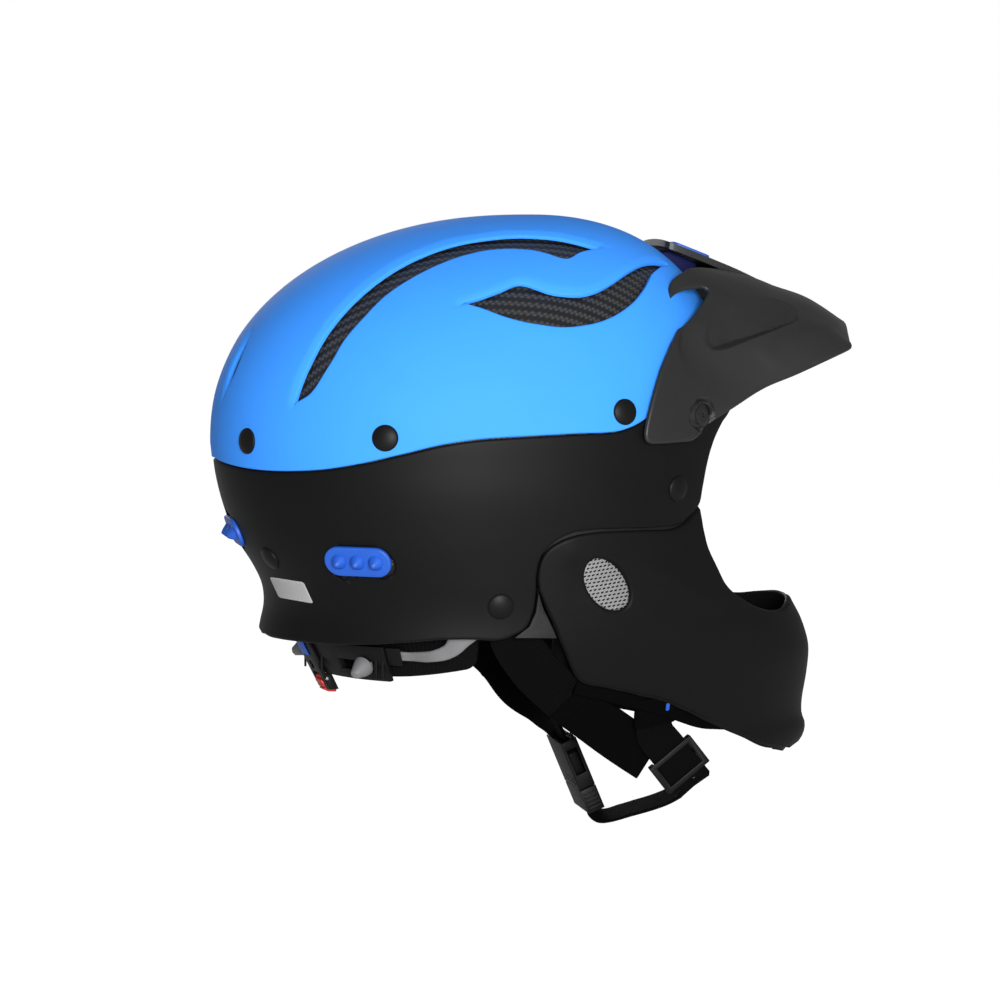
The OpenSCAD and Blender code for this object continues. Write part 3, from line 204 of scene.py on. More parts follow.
def shell(h, p, deep=0):
    """Points on the shell, in metres, or inside it by a depth in millimetres."""
    h = np.asarray(h, float)
    p = np.asarray(p, float)
    below = p > 90
    half = (107 - deep) * bulge(p, 2.2) - np.where(below, curve(SIDE_INSET, p), 0)
    front = (133 - deep) * bulge(p, 2) - np.where(below, curve(FRONT_INSET, p), 0)
    rear = (132.8 - deep) * bulge(p, 2.5) - np.where(below, curve(REAR_INSET, p), 0)
    mid = np.where(below, 0, -30 * np.cos(np.radians(p)) ** 2)
    c = np.cos(np.radians(h))
    reach = np.where(c > 0, front, rear)
    z = np.where(below, -99 * (p - 90) / 50, (113.5 - deep) * np.cos(np.radians(p)))
    x = -half * signed_power(np.sin(np.radians(h)), 2 / 2.15)
    y = mid - reach * signed_power(c, 2 / 2.15)
    return np.stack([x, y, z], axis=-1) * MM


def to_flat(h, p):
    """A heading and a polar angle on the flat pattern of the shell."""
    h = np.radians(np.asarray(h, float))
    return np.stack([np.asarray(p) * np.cos(h), np.asarray(p) * np.sin(h)], axis=-1)


def on_shell(flat, deep=0):
    """Points of the flat pattern, laid on the shell."""
    return shell(np.degrees(np.arctan2(flat[:, 1], flat[:, 0])), np.hypot(flat[:, 0], flat[:, 1]), deep)


print("widest place of the shell:", shell(90, 90))

# %% [markdown]
# ## Cutting a panel from a pattern
# A moulded shell has an outline, holes and rolled edges. A tailor would cut it from a flat
# pattern, and so does this helper: it fills the pattern with points, denser along every edge,
# joins them with a triangulation that keeps the outlines, and lays the result on the form. A
# profile along each edge rounds it, and a relief pushes grooves and creases into the surface.

# %% The panel cutter
def smooth_loop(points, step, closed=True, corners=()):
    """A curve through points, cut into even steps. It stays sharp at the numbered corners."""
    pts = np.asarray(points, float)
    n = len(pts)
    out = []
    for i in range(n if closed else n - 1):
        b, c = pts[i], pts[(i + 1) % n]
        a = pts[i - 1] if closed or i else b
        d = pts[(i + 2) % n] if closed or i + 2 < n else c
        if i in corners:
            a = b
        if (i + 1) % n in corners:
            d = c
        count = max(1, int(round(np.linalg.norm(c - b) / step)))
        for k in range(count):
            u = k / count
            out.append((2 * b + (c - a) * u + (2 * a - 5 * b + 4 * c - d) * u**2
                        + (3 * b - a - 3 * c + d) * u**3) / 2)
    if not closed:
        out.append(pts[-1])
    return np.array(out)


def inside(points, loop):
    """Which points lie in a closed outline."""
    x, y = points[:, 0][:, None], points[:, 1][:, None]
    a, b = loop, np.roll(loop, -1, axis=0)
    crosses = (a[:, 1] > y) != (b[:, 1] > y)
    with np.errstate(divide="ignore", invalid="ignore"):
        at = a[:, 0] + (y - a[:, 1]) * (b[:, 0] - a[:, 0]) / (b[:, 1] - a[:, 1])
    return (np.sum(crosses & (x < at), axis=1) % 2) == 1


def distances(points, lines):
    """Distance from each point to the nearest place of some lines, all in space."""
    dense = []
    for line in lines:
        for a, b in zip(line[:-1], line[1:]):
            count = max(1, int(np.linalg.norm(b - a) / 0.0005))
            dense += [a + (b - a) * k / count for k in range(count)]
        dense.append(line[-1])
    tree = kdtree.KDTree(len(dense))
    for i, p in enumerate(dense):
        tree.insert(p, i)
    tree.balance()
    return np.array([tree.find(p)[2] for p in points])


SMALL = 0.05


def normals_of(place, flat, deep=0, step=SMALL):
    """Outward directions of a form at points of its pattern."""
    du = place(flat + [step, 0], deep) - place(flat - [step, 0], deep)
    dv = place(flat + [0, step], deep) - place(flat - [0, step], deep)
    n = np.cross(du, dv)
    return n / np.maximum(np.linalg.norm(n, axis=1), 1e-12)[:, None]


def rounding(radius):
    """Profile of an edge rounded by a radius: how far the surface drops at a distance from it."""
    def drop(d):
        t = np.clip(radius - d, 0, radius)
        return radius - np.sqrt(np.maximum(radius**2 - t**2, 0))
    return drop


ROWS = (0.25, 0.6, 1.1, 1.8, 2.8)


def panel(name, place, outline, holes, spacing, outer, inner, drop, relief=None, turn=1,
          lines=(), rows=ROWS, inner_drop=None, scale=2.15, through=0.0):
    """A sheet cut from a pattern and laid on a form, with its wall and its inner side.

    spacing and rows are in millimetres, outer and inner are depths on the form, drop and
    inner_drop are edge profiles, lines are extra curves that the mesh follows, scale is the
    number of millimetres in a unit of the pattern, and through is the share of the relief that
    the inner side follows."""
    loops = [outline] + list(holes)
    edges_in_space = [place(np.vstack([q, q[:1]]), outer) for q in loops]
    candidates = []
    for q in loops:
        ahead = np.roll(q, -1, axis=0) - np.roll(q, 1, axis=0)
        du = (place(q + [SMALL, 0], outer) - place(q - [SMALL, 0], outer)) / (2 * SMALL)
        dv = (place(q + [0, SMALL], outer) - place(q - [0, SMALL], outer)) / (2 * SMALL)
        guu, guv, gvv = (du * du).sum(1), (du * dv).sum(1), (dv * dv).sum(1)
        cross = np.stack([-ahead[:, 1], ahead[:, 0]], axis=1)
        across = np.stack([gvv * cross[:, 0] - guv * cross[:, 1],
                           guu * cross[:, 1] - guv * cross[:, 0]], axis=1)
        size = np.linalg.norm(across[:, :1] * du + across[:, 1:] * dv, axis=1)
        across /= np.maximum(size, 1e-15)[:, None]
        for row in rows:
            for side in (-1, 1):
                candidates.append((q + side * row * MM * across, row))
    low, high = outline.min(0), outline.max(0)
    step = spacing / scale
    us = np.arange(low[0], high[0] + step, step)
    vs = np.arange(low[1], high[1] + step, step * 0.866)
    mesh_points = np.array([[u + (j % 2) * step / 2, v] for j, v in enumerate(vs) for u in us])
    candidates.append((mesh_points, rows[-1] + 0.6 * spacing))
    chosen = []
    for pts, least in candidates:
        keep = inside(pts, outline)
        for q in holes:
            keep &= ~inside(pts, q)
        pts = pts[keep]
        if len(pts):
            away = distances(place(pts, outer), edges_in_space)
            chosen.append(pts[away > 0.86 * least * MM])
    chosen = np.vstack(chosen)
    if len(lines):
        away = distances(place(chosen, outer), [place(q, outer) for q in lines])
        chosen = chosen[away > 0.25 * spacing * MM]
    everything = list(loops) + [chosen] + list(lines)
    constraints = []
    start = 0
    for k, q in enumerate(everything):
        if k < len(loops):
            constraints += [(start + i, start + (i + 1) % len(q)) for i in range(len(q))]
        elif k > len(loops):
            constraints += [(start + i, start + i + 1) for i in range(len(q) - 1)]
        start += len(q)
    raw = np.vstack(everything)
    got = delaunay_2d_cdt([Vector(p) for p in raw], constraints, [], 0, 1e-5, False)
    flat = np.array([tuple(p) for p in got[0]])
    tris = np.array(got[2])
    middle = flat[tris].mean(axis=1)
    keep = inside(middle, outline)
    for q in holes:
        keep &= ~inside(middle, q)
    tris = tris[keep]
    used = np.unique(tris)
    renumber = -np.ones(len(flat), int)
    renumber[used] = np.arange(len(used))
    flat, tris = flat[used], renumber[tris]
    if turn < 0:
        tris = tris[:, ::-1]
    base = place(flat, outer)
    away = distances(base, edges_in_space)
    out = normals_of(place, flat, outer) * turn
    carved = relief(flat, base, away) if relief is not None else 0 * away
    top = base + out * (carved - drop(away))[:, None]
    back_base = place(flat, inner)
    lift = (inner_drop(away) if inner_drop else 0 * away) + through * carved
    back = back_base + out * lift[:, None]
    n = len(flat)
    edges = {}
    for t in tris:
        for a, b in ((t[0], t[1]), (t[1], t[2]), (t[2], t[0])):
            edges[(a, b)] = True
    rim = [(a, b) for a, b in edges if (b, a) not in edges]
    faces = [tuple(t) for t in tris] + [(t[2] + n, t[1] + n, t[0] + n) for t in tris]
    faces += [(b, a, a + n, b + n) for a, b in rim]
    return new_mesh(name, np.vstack([top, back]), faces, np.vstack([flat, flat]) * scale)

# %% [markdown]
# ## Finishes
# Moulded plastic is never flat: it has a fine grain from its mould, and it is a little uneven.
# One node group gives that, and others give webbing, carbon, knit and foam. Each material uses
# one with its own values. A group only gives masks, shades and heights: the shader itself stays
# in the material.

# %% Node helpers
def node(tree, kind, **values):
    n = tree.nodes.new(kind)
    for key, value in values.items():
        if key.startswith("in_"):
            n.inputs[int(key[3:])].default_value = value
        else:
            setattr(n, key, value)
    return n


def group(name, inputs, outputs=("Height", "Shade")):
    """A node group whose inputs, with their usual values, and outputs are plain numbers."""
    tree = bpy.data.node_groups.new(name, "ShaderNodeTree")
    for label, value in inputs.items():
        socket = tree.interface.new_socket(label, in_out="INPUT", socket_type="NodeSocketFloat")
        socket.default_value = value
    for label in outputs:
        tree.interface.new_socket(label, in_out="OUTPUT", socket_type="NodeSocketFloat")
    return tree, tree.nodes.new("NodeGroupInput"), tree.nodes.new("NodeGroupOutput")


def math_node(tree, kind, a, b=None, c=None):
    n = tree.nodes.new("ShaderNodeMath")
    n.operation = kind
    for i, value in enumerate((a, b, c)):
        if value is None:
            continue
        if isinstance(value, (int, float)):
            n.inputs[i].default_value = value
        else:
            tree.links.new(value, n.inputs[i])
    return n.outputs[0]


def mould_grain():
    """Fine grain of a mould, with soft unevenness: a height, and a shade round 1."""
    tree, given, result = group("mould grain", {"Size mm": 0.5, "Uneven": 0.1})
    place = node(tree, "ShaderNodeTexCoord")
    per_metre = math_node(tree, "DIVIDE", 1000.0, given.outputs["Size mm"])
    fine = node(tree, "ShaderNodeTexNoise", in_3=2.0, in_4=0.6)
    tree.links.new(place.outputs["Object"], fine.inputs["Vector"])
    tree.links.new(per_metre, fine.inputs["Scale"])
    broad = node(tree, "ShaderNodeTexNoise", in_2=38.0, in_3=3.0)
    tree.links.new(place.outputs["Object"], broad.inputs["Vector"])
    centred = math_node(tree, "SUBTRACT", broad.outputs[0], 0.5)
    shade = math_node(tree, "MULTIPLY_ADD", centred, given.outputs["Uneven"], 1.0)
    tree.links.new(fine.outputs[0], result.inputs["Height"])
    tree.links.new(shade, result.inputs["Shade"])
    return tree


def ribbed_web():
    """Weave of webbing from its own pattern, in millimetres: ribs along it, picks across it."""
    tree, given, result = group("ribbed web", {"Rib mm": 1.5, "Pick mm": 0.9})
    uv = node(tree, "ShaderNodeUVMap", uv_map="flat")
    split = node(tree, "ShaderNodeSeparateXYZ")
    tree.links.new(uv.outputs[0], split.inputs[0])
    rib = math_node(tree, "DIVIDE", split.outputs[0], given.outputs["Rib mm"])
    bent = math_node(tree, "PINGPONG", rib, 0.5)
    pick = math_node(tree, "DIVIDE", split.outputs[1], given.outputs["Pick mm"])
    slanted = math_node(tree, "ADD", pick, math_node(tree, "MULTIPLY", bent, 1.4))
    wave = math_node(tree, "SINE", math_node(tree, "MULTIPLY", slanted, 2 * math.pi))
    ridge = math_node(tree, "SINE", math_node(tree, "MULTIPLY", rib, 2 * math.pi))
    height = math_node(tree, "MULTIPLY_ADD", wave, 0.3, math_node(tree, "MULTIPLY", ridge, 0.5))
    # The shade follows the height: the crests of ribs and picks are painted lighter and the valleys darker, a
    # painted shade of the weave's relief.
    shade = math_node(tree, "MULTIPLY_ADD", height, 0.35, 1.0)
    tree.links.new(height, result.inputs["Height"])
    tree.links.new(shade, result.inputs["Shade"])
    return tree


def twill():
    """Woven carbon from the pattern of its sheet: tows over two and under two, in steps."""
    tree, given, result = group("twill", {"Tow mm": 2.0, "Turn": 0.6}, ("Height", "Over", "Gloss"))
    uv = node(tree, "ShaderNodeUVMap", uv_map="flat")
    rotate = node(tree, "ShaderNodeVectorRotate", rotation_type="Z_AXIS")
    tree.links.new(uv.outputs[0], rotate.inputs["Vector"])
    tree.links.new(given.outputs["Turn"], rotate.inputs["Angle"])
    split = node(tree, "ShaderNodeSeparateXYZ")
    tree.links.new(rotate.outputs[0], split.inputs[0])
    u = math_node(tree, "DIVIDE", split.outputs[0], given.outputs["Tow mm"])
    v = math_node(tree, "DIVIDE", split.outputs[1], given.outputs["Tow mm"])
    step = math_node(tree, "SUBTRACT", math_node(tree, "FLOOR", u), math_node(tree, "FLOOR", v))
    four = math_node(tree, "FLOORED_MODULO", step, 4.0)
    over = math_node(tree, "LESS_THAN", four, 1.5)
    crowns = []
    for along_tow in (u, v):
        from_middle = math_node(tree, "SUBTRACT", math_node(tree, "FRACT", along_tow), 0.5)
        squared = math_node(tree, "POWER", math_node(tree, "ABSOLUTE", from_middle), 2.0)
        crowns.append(math_node(tree, "SUBTRACT", 1.0, math_node(tree, "MULTIPLY", squared, 3.4)))
    du, dv = crowns
    under = math_node(tree, "SUBTRACT", 1.0, over)
    height = math_node(tree, "ADD", math_node(tree, "MULTIPLY", du, over),
                       math_node(tree, "MULTIPLY", dv, under))
    tree.links.new(height, result.inputs["Height"])
    tree.links.new(over, result.inputs["Over"])
    # The product of the two crowns is a painted sheen: the middle of each tow is made lighter in colour.
    tree.links.new(math_node(tree, "MULTIPLY", du, dv), result.inputs["Gloss"])
    return tree


def knit():
    """Soft knit of a pad's cover: small loops in crossed rows."""
    tree, given, result = group("knit", {"Loop mm": 1.2})
    place = node(tree, "ShaderNodeTexCoord")
    per_metre = math_node(tree, "DIVIDE", 1000.0, given.outputs["Loop mm"])
    cells = node(tree, "ShaderNodeTexVoronoi", feature="SMOOTH_F1")
    cells.inputs["Randomness"].default_value = 0.35
    tree.links.new(place.outputs["Object"], cells.inputs["Vector"])
    tree.links.new(per_metre, cells.inputs["Scale"])
    fuzz = node(tree, "ShaderNodeTexNoise", in_2=2600.0, in_3=2.0)
    tree.links.new(place.outputs["Object"], fuzz.inputs["Vector"])
    height = math_node(tree, "MULTIPLY_ADD", fuzz.outputs[0], 0.35,
                       math_node(tree, "SUBTRACT", 1.0, cells.outputs["Distance"]))
    tree.links.new(height, result.inputs["Height"])
    # The shade follows the height: the loops are painted lighter and the gaps between them darker, a painted
    # shade, and the fuzz varies the tone at random.
    tree.links.new(math_node(tree, "MULTIPLY_ADD", height, 0.5, 0.55), result.inputs["Shade"])
    return tree


def foam_beads():
    """Moulded foam: beads pressed together, with thin dark joints."""
    tree, given, result = group("foam beads", {"Bead mm": 3.0})
    place = node(tree, "ShaderNodeTexCoord")
    cells = node(tree, "ShaderNodeTexVoronoi", feature="DISTANCE_TO_EDGE")
    tree.links.new(place.outputs["Object"], cells.inputs["Vector"])
    tree.links.new(math_node(tree, "DIVIDE", 1000.0, given.outputs["Bead mm"]), cells.inputs["Scale"])
    flat_top = math_node(tree, "MINIMUM", cells.outputs["Distance"], 0.12)
    tree.links.new(flat_top, result.inputs["Height"])
    tree.links.new(math_node(tree, "MULTIPLY_ADD", flat_top, 3.0, 0.7), result.inputs["Shade"])
    return tree


GROUPS = {"mould": mould_grain(), "web": ribbed_web(), "twill": twill(), "knit": knit(),
          "beads": foam_beads()}


def surfaced(name, roughness, use, bump, depth_mm):
    """A material with the relief of one of the groups. depth_mm is the height of its bump."""
    material = bpy.data.materials.new(name)
    material.use_nodes = True
    tree = material.node_tree
    shader = tree.nodes["Principled BSDF"]
    shader.inputs["Roughness"].default_value = roughness
    surface = tree.nodes.new("ShaderNodeGroup")
    surface.node_tree = GROUPS[use]
    lift = node(tree, "ShaderNodeBump")
    lift.inputs["Strength"].default_value = bump
    lift.inputs["Distance"].default_value = depth_mm * MM
    tree.links.new(surface.outputs["Height"], lift.inputs["Height"])
    tree.links.new(lift.outputs[0], shader.inputs["Normal"])
    return material, tree, shader, surface


def finish(name, slot, colour, roughness, use, sizes, bump, depth_mm, **shader_values):
    """A material whose shade and relief come from one of the groups."""
    material, tree, shader, surface = surfaced(name, roughness, use, bump, depth_mm)
    for key, value in shader_values.items():
        shader.inputs[key.replace("_", " ")].default_value = value
    for key, value in sizes.items():
        surface.inputs[key].default_value = value
    tint = node(tree, "ShaderNodeMix", data_type="RGBA", blend_type="MULTIPLY")
    tint.inputs["Factor"].default_value = 1.0
    tint.inputs[6].default_value = (*colour, 1)
    tree.links.new(surface.outputs["Shade"], tint.inputs[7])
    tree.links.new(tint.outputs[2], shader.inputs["Base Color"])
    return material


def moulded(name, slot, colour, roughness, grain_mm, uneven, bump, depth_mm, **shader_values):
    return finish(name, slot, colour, roughness, "mould", {"Size mm": grain_mm, "Uneven": uneven},
                  bump, depth_mm, **shader_values)


# %% Materials of the helmet
BLUE = (0.045, 0.3, 1.0)
blue_shell = moulded("satin_blue_shell", "shell_blue", BLUE, 0.6, 0.35, 0.05, 0.12, 0.05,
                     Specular_IOR_Level=0.12)
black_shell = moulded("soft_touch_black", "shell_black", (0.005, 0.005, 0.0052), 0.5, 0.3, 0.25,
                      0.25, 0.06, Specular_IOR_Level=0.1)
peak_black = moulded("satin_peak_black", "black_plastic", (0.017, 0.017, 0.0172), 0.42, 0.32, 0.15,
                     0.22, 0.06, Specular_IOR_Level=0.35)
black_plastic = moulded("moulded_black", "black_plastic", (0.005, 0.005, 0.0051), 0.45, 0.4, 0.25,
                        0.3, 0.06, Specular_IOR_Level=0.14)
black_rubber = moulded("black_rubber", "rubber_black", (0.0035, 0.0035, 0.0035), 0.7, 0.4, 0.3, 0.3, 0.08)
blue_rubber = moulded("blue_rubber", "rubber_blue", (0.009, 0.09, 0.5), 0.5, 0.3, 0.15, 0.2, 0.06)
# The rib under the tongue is painted dark navy: painted shade for the tongue's shadow, not a colour of its
# own.
rib_painted_shade = moulded("deep_blue_rib", "rubber_blue", (0.004, 0.006, 0.05), 0.6, 0.3, 0.15, 0.2, 0.06,
                   Specular_IOR_Level=0.1)
grey_plastic = moulded("grey_nylon", "grey_plastic", (0.165, 0.165, 0.17), 0.5, 0.35, 0.12, 0.25, 0.06)
red_plastic = moulded("red_lever", "red_plastic", (0.5, 0.014, 0.006), 0.35, 0.4, 0.1, 0.2, 0.05)
# Both webbing finishes take their shade from the ribbed web group: painted shade in the valleys of the weave.
webbing = finish("ribbed_webbing", "webbing", (0.0018, 0.0018, 0.0019), 0.85, "web",
                 {"Rib mm": 1.6, "Pick mm": 0.85}, 0.9, 0.22, Specular_IOR_Level=0.06)
smooth_web = finish("close_woven_sleeve", "webbing", (0.0012, 0.0012, 0.0013), 0.85, "web",
                    {"Rib mm": 0.9, "Pick mm": 0.45}, 0.5, 0.08, Specular_IOR_Level=0.04)
# The knit's shade is painted shade between its loops, with a random fuzz of tone.
pad_cover = finish("knit_cover", "padding", (0.0035, 0.0035, 0.0036), 0.92, "knit", {}, 0.8, 0.3,
                   Specular_IOR_Level=0.08)
foam_black = finish("moulded_foam", "foam", (0.016, 0.016, 0.0165), 0.85, "beads", {}, 0.5, 0.3)
label_film = moulded("label_film", "label", (0.42, 0.42, 0.425), 0.55, 0.6, 0.15, 0.1, 0.04)
mesh_metal = moulded("ear_mesh_metal", "mesh", (0.38, 0.38, 0.385), 0.38, 0.3, 0.2, 0.2, 0.04,
                     Metallic=0.85)
screw_metal = moulded("black_screw", "black_metal", (0.03, 0.03, 0.032), 0.36, 0.3, 0.3, 0.2, 0.04,
                      Metallic=0.6)
steel = moulded("rivet_steel", "metal", (0.5, 0.5, 0.5), 0.32, 0.25, 0.2, 0.2, 0.03, Metallic=1.0)


def carbon_weave():
    material, tree, shader, surface = surfaced("carbon_twill", 0.34, "twill", 0.55, 0.35)
    # The tows that lie over are painted lighter towards their crowns: a painted sheen of the weave over the
    # dark carbon colour.
    tows = node(tree, "ShaderNodeMix", data_type="RGBA")
    tows.inputs[6].default_value = (0.008, 0.008, 0.009, 1)
    tows.inputs[7].default_value = (0.055, 0.057, 0.06, 1)
    tree.links.new(math_node(tree, "MULTIPLY", surface.outputs["Over"], surface.outputs["Gloss"]),
                   tows.inputs["Factor"])
    tree.links.new(tows.outputs[2], shader.inputs["Base Color"])
    return material


carbon = carbon_weave()
print(len(bpy.data.materials), "materials")

# %% [markdown]
# ## The blue top shell
# The top shell is a thin skin with two long vents and a rear slit on each side. Its lower edge
# follows a drawn line. Above each vent a soft crease runs along the opening, and the
# skin sinks from the crease to the vent's edge, so a band catches the light.

# %% Outlines of the top shell
BORDER = [
    [0, 60], [20, 61], [36, 63], [46, 67], [53, 72], [58, 77.5], [62, 81.3], [66, 83.6], [71, 85],
    [80, 85.2], [97, 86.1], [105, 87.4], [113, 89.6], [122, 91.9], [132, 93.7], [142, 94.5],
    [151, 94.7], [160, 94.5], [172, 93.9], [180, 93.5]]
TOP_VENT_LOW = [
    [141, 78], [136.5, 75], [133.7, 68], [132.5, 62], [130.3, 55.3], [128.3, 49.2], [125.5, 44.6],
    [120.2, 38.7], [113.5, 34.2], [104.9, 31.7], [93.7, 32], [83.5, 35.8], [76.9, 32.9], [67, 31.2]]
TOP_VENT_HIGH = [
    [140.3, 72], [139.6, 67], [139, 61.1], [138, 54.9], [136.2, 47.4], [133.1, 39.5], [128.4, 33.3],
    [121.5, 28.5], [111.8, 25.5], [99.2, 24], [84, 25.7], [74, 28.5]]
SIDE_VENT_HIGH = [
    [102.9, 49.5], [98.7, 47.1], [94.5, 44.8], [88.1, 47.6], [83.3, 48.6], [78.7, 48.7], [73.7, 47.4],
    [67.4, 44.4], [58.6, 40.4], [50, 38.1], [40.1, 37.4], [31.5, 38.5]]
SIDE_VENT_LOW = [
    [106.5, 51], [102.1, 52.5], [95.7, 55.3], [89.4, 57.3], [83, 58.2], [75.8, 57.2], [69.8, 55],
    [63.8, 51.7], [58.7, 48.2], [54, 44.9], [49.5, 42], [40.6, 39.4]]
SLIT_IN = [[172.6, 60], [173.8, 66], [173.8, 72], [172.3, 77.6]]
SLIT_OUT = [[171.4, 61.5], [169.4, 66], [169.2, 72], [171.6, 77]]
EDGE_STEP = 0.8


def around_head(half):
    """A line given on the wearer's right, with its mirror image on the left, as a loop."""
    right_side = to_flat(half[:, 0], half[:, 1])
    left_side = right_side[-2:0:-1] * [1, -1]
    return np.vstack([right_side, left_side])


def both_sides(loop):
    return [loop, loop[::-1] * [1, -1]]


def half_border(step=EDGE_STEP, table=BORDER, lift=0.0):
    h = np.arange(0, 180 + step / 2, step)
    return np.stack([h, curve(table, h) + lift], axis=1)


def flat_path(pairs):
    pairs = np.array(pairs, float)
    return to_flat(pairs[:, 0], pairs[:, 1])


def vent(high, low, step=EDGE_STEP):
    """A closed opening from its upper and lower edge, pointed where they meet."""
    points = np.vstack([flat_path(low), flat_path(high)[::-1]])
    return smooth_loop(points, step, corners=(0, len(low) - 1))


top_vent = vent(TOP_VENT_HIGH, TOP_VENT_LOW)
side_vent = vent(SIDE_VENT_HIGH, SIDE_VENT_LOW)
slit = vent(SLIT_OUT, SLIT_IN, 0.5)
TOP_CREASE = [
    [142.2, 80.5], [142.6, 76.5], [142.2, 71], [141.5, 66], [140.9, 60.2], [140.2, 54], [138.9, 46.4],
    [136.2, 38.2], [131.5, 31.5], [124.2, 26.4], [113.3, 23.4], [99.4, 21.9], [82, 23.8], [70.5, 27.2],
    [61, 31]]
SIDE_CREASE = [
    [109, 51], [106, 48.9], [101, 46.4], [95, 43], [88.6, 45.3], [83.2, 46.6], [78.8, 46.6],
    [74, 45.2], [67.6, 42.2], [58.2, 38.2], [49.5, 36], [39.8, 35.4], [31, 36]]
SLIT_CREASE = [[174.6, 57], [175.4, 66], [175.3, 72], [173.4, 80]]
SINK = 1.1
CREASE_WIDTH = 4.2


def crease_bands():
    bands = []
    for crease, low in ((TOP_CREASE, TOP_VENT_LOW), (SIDE_CREASE, SIDE_VENT_LOW),
                        (SLIT_CREASE, SLIT_IN)):
        line = smooth_loop(flat_path(crease), 1.0, closed=False)
        area = np.vstack([line, flat_path(low)[::-1]])
        bands += [(line, area), (line * [1, -1], area * [1, -1])]
    return bands


bands = crease_bands()


def top_relief(flat, base, away):
    sink = np.zeros(len(flat))
    for line, area in bands:
        within = inside(flat, area)
        if within.any():
            d = distances(base[within], [on_shell(line)]) / (CREASE_WIDTH * MM)
            sink[within] = np.maximum(sink[within], SINK * MM * np.clip(d, 0, 1) ** 0.8)
    return -sink


top_outline = around_head(half_border())
top_holes = both_sides(top_vent) + both_sides(side_vent) + both_sides(slit)
print("top shell outline:", len(top_outline), "points")

# %% Cut the top shell
SKIN = 2.6
top_shell = panel("top_shell_skin", on_shell, top_outline, top_holes, 2.6, 0, SKIN,
                  rounding(1.0 * MM), relief=top_relief, turn=-1, lines=[b[0] for b in bands])
print(top_shell.name, len(top_shell.data.polygons), "faces")

# %% [markdown]
# ## The black lower shell
# The lower shell starts just under the blue one, a little deeper, and ends in a flared skirt
# whose edge is notched for the ears. The same cutter makes it. Round pockets hold the rubber pads.

# %% The lower shell
EDGE = [
    [0, 78], [7, 78.3], [14, 79.4], [21.4, 81.1], [28, 83], [33, 84.8], [38.6, 89.3], [40.8, 94.5],
    [41.8, 100], [42.5, 104.5], [47.2, 107.6], [52, 109], [60.2, 109], [68.4, 108.7], [75.6, 108.7],
    [79.8, 109.3], [83.8, 111.7], [86, 114.9], [86.7, 119.1], [86.6, 123.8], [87, 128.5],
    [88.7, 132.6], [93.5, 135], [100, 134.8], [107, 134.8], [115, 135.4], [123, 136.1], [130, 136.5],
    [137, 136.9], [144, 137.1], [151, 137.2], [158, 137.4], [165, 137.6], [172, 137.8], [180, 138]]
STEP = 0.6
SLIT_BELOW = 0.25
low_border = around_head(half_border(lift=SLIT_BELOW))


edge_right = smooth_loop(flat_path(EDGE), EDGE_STEP, closed=False)
low_edge = np.vstack([edge_right, edge_right[-2:0:-1] * [1, -1]])


def local_on(place, at, shape, turn):
    """A loop given in millimetres round a place of a pattern: x to the rear, y down."""
    at = np.array([at], float)
    du = (place(at + [SMALL, 0]) - place(at - [SMALL, 0]))[0] / (2 * SMALL)
    dv = (place(at + [0, SMALL]) - place(at - [0, SMALL]))[0] / (2 * SMALL)
    out = turn * normals_of(place, at)[0]
    x = np.cross([0, 0, -1.0], out)
    x /= np.linalg.norm(x)
    y = np.cross(out, x)
    inverse = np.linalg.pinv(np.stack([du, dv], axis=1))
    return at + ((shape[:, :1] * x + shape[:, 1:] * y) * MM) @ inverse.T


def capsule_shape(length, width, count=24):
    r = width / 2
    a = np.linspace(-90, 90, count)
    right_end = np.stack([length / 2 - r + r * np.cos(np.radians(a)), r * np.sin(np.radians(a))], axis=1)
    return np.vstack([right_end, -right_end])


def circle_shape(d, count=40):
    a = np.linspace(0, 2 * math.pi, count, endpoint=False)
    return np.stack([d / 2 * np.cos(a), d / 2 * np.sin(a)], axis=1)


PAD_L, PAD_H, PAD_GAP = 34, 15, 0.25
pocket = capsule_shape(PAD_L + 2 * PAD_GAP, PAD_H + 2 * PAD_GAP)
tilt = math.radians(2)
turned = pocket @ np.array([[math.cos(tilt), math.sin(tilt)], [-math.sin(tilt), math.cos(tilt)]])
PAD_SPOT, REAR_PAD_SPOT = (127.6, 116.1), (180, 112)
pocket_right = local_on(on_shell, flat_path([PAD_SPOT])[0], turned, -1)
pocket_rear = local_on(on_shell, flat_path([REAR_PAD_SPOT])[0], pocket, -1)
low_holes = [low_border, pocket_right, pocket_right[::-1] * [1, -1], pocket_rear]


lower_shell = panel("lower_shell_skin", on_shell, low_edge, low_holes, 2.8, STEP, STEP + SKIN,
                    rounding(1.1 * MM), turn=-1)
dress(lower_shell, black_shell, "helmet", "lower_shell")
print(lower_shell.name, len(lower_shell.data.polygons), "faces")

# %% [markdown]
# ## The carbon shell
# Under both skins lies a shell of woven carbon. It shows only in the vents and from below, but a
# weave has to follow the sheet, so the piece carries its flat pattern as UVs, in millimetres.

# %% The carbon shell
CARBON_OUT, CARBON_IN = 3.9, 5.7
CARBON_INSET = 1.4


def carbon_shell():
    cut = smooth_loop(low_edge, 2.0)
    ahead = np.roll(cut, -1, axis=0) - np.roll(cut, 1, axis=0)
    across = np.stack([-ahead[:, 1], ahead[:, 0]], axis=1)
    across /= np.linalg.norm(across, axis=1)[:, None]
    inward = cut + across * CARBON_INSET
    return panel("carbon_shell_weave", on_shell, inward, [], 4.5, CARBON_OUT, CARBON_IN,
                 rounding(0.5 * MM), turn=-1, rows=(0.6, 2.0))


carbon_piece = carbon_shell()
dress(carbon_piece, carbon, "helmet", "carbon_shell")
print(carbon_piece.name, len(carbon_piece.data.polygons), "faces")

# %% Where the camera sees a place
FRAME = 1000


def seen_at(points):
    """Where points show in the photograph's frame, in pixels."""
    away = points - spot
    scale = LENS / camera.data.sensor_width * FRAME / -(away @ outward)
    return np.stack([FRAME / 2 + (away @ rightward) * scale, FRAME / 2 - (away @ upward) * scale], axis=1)


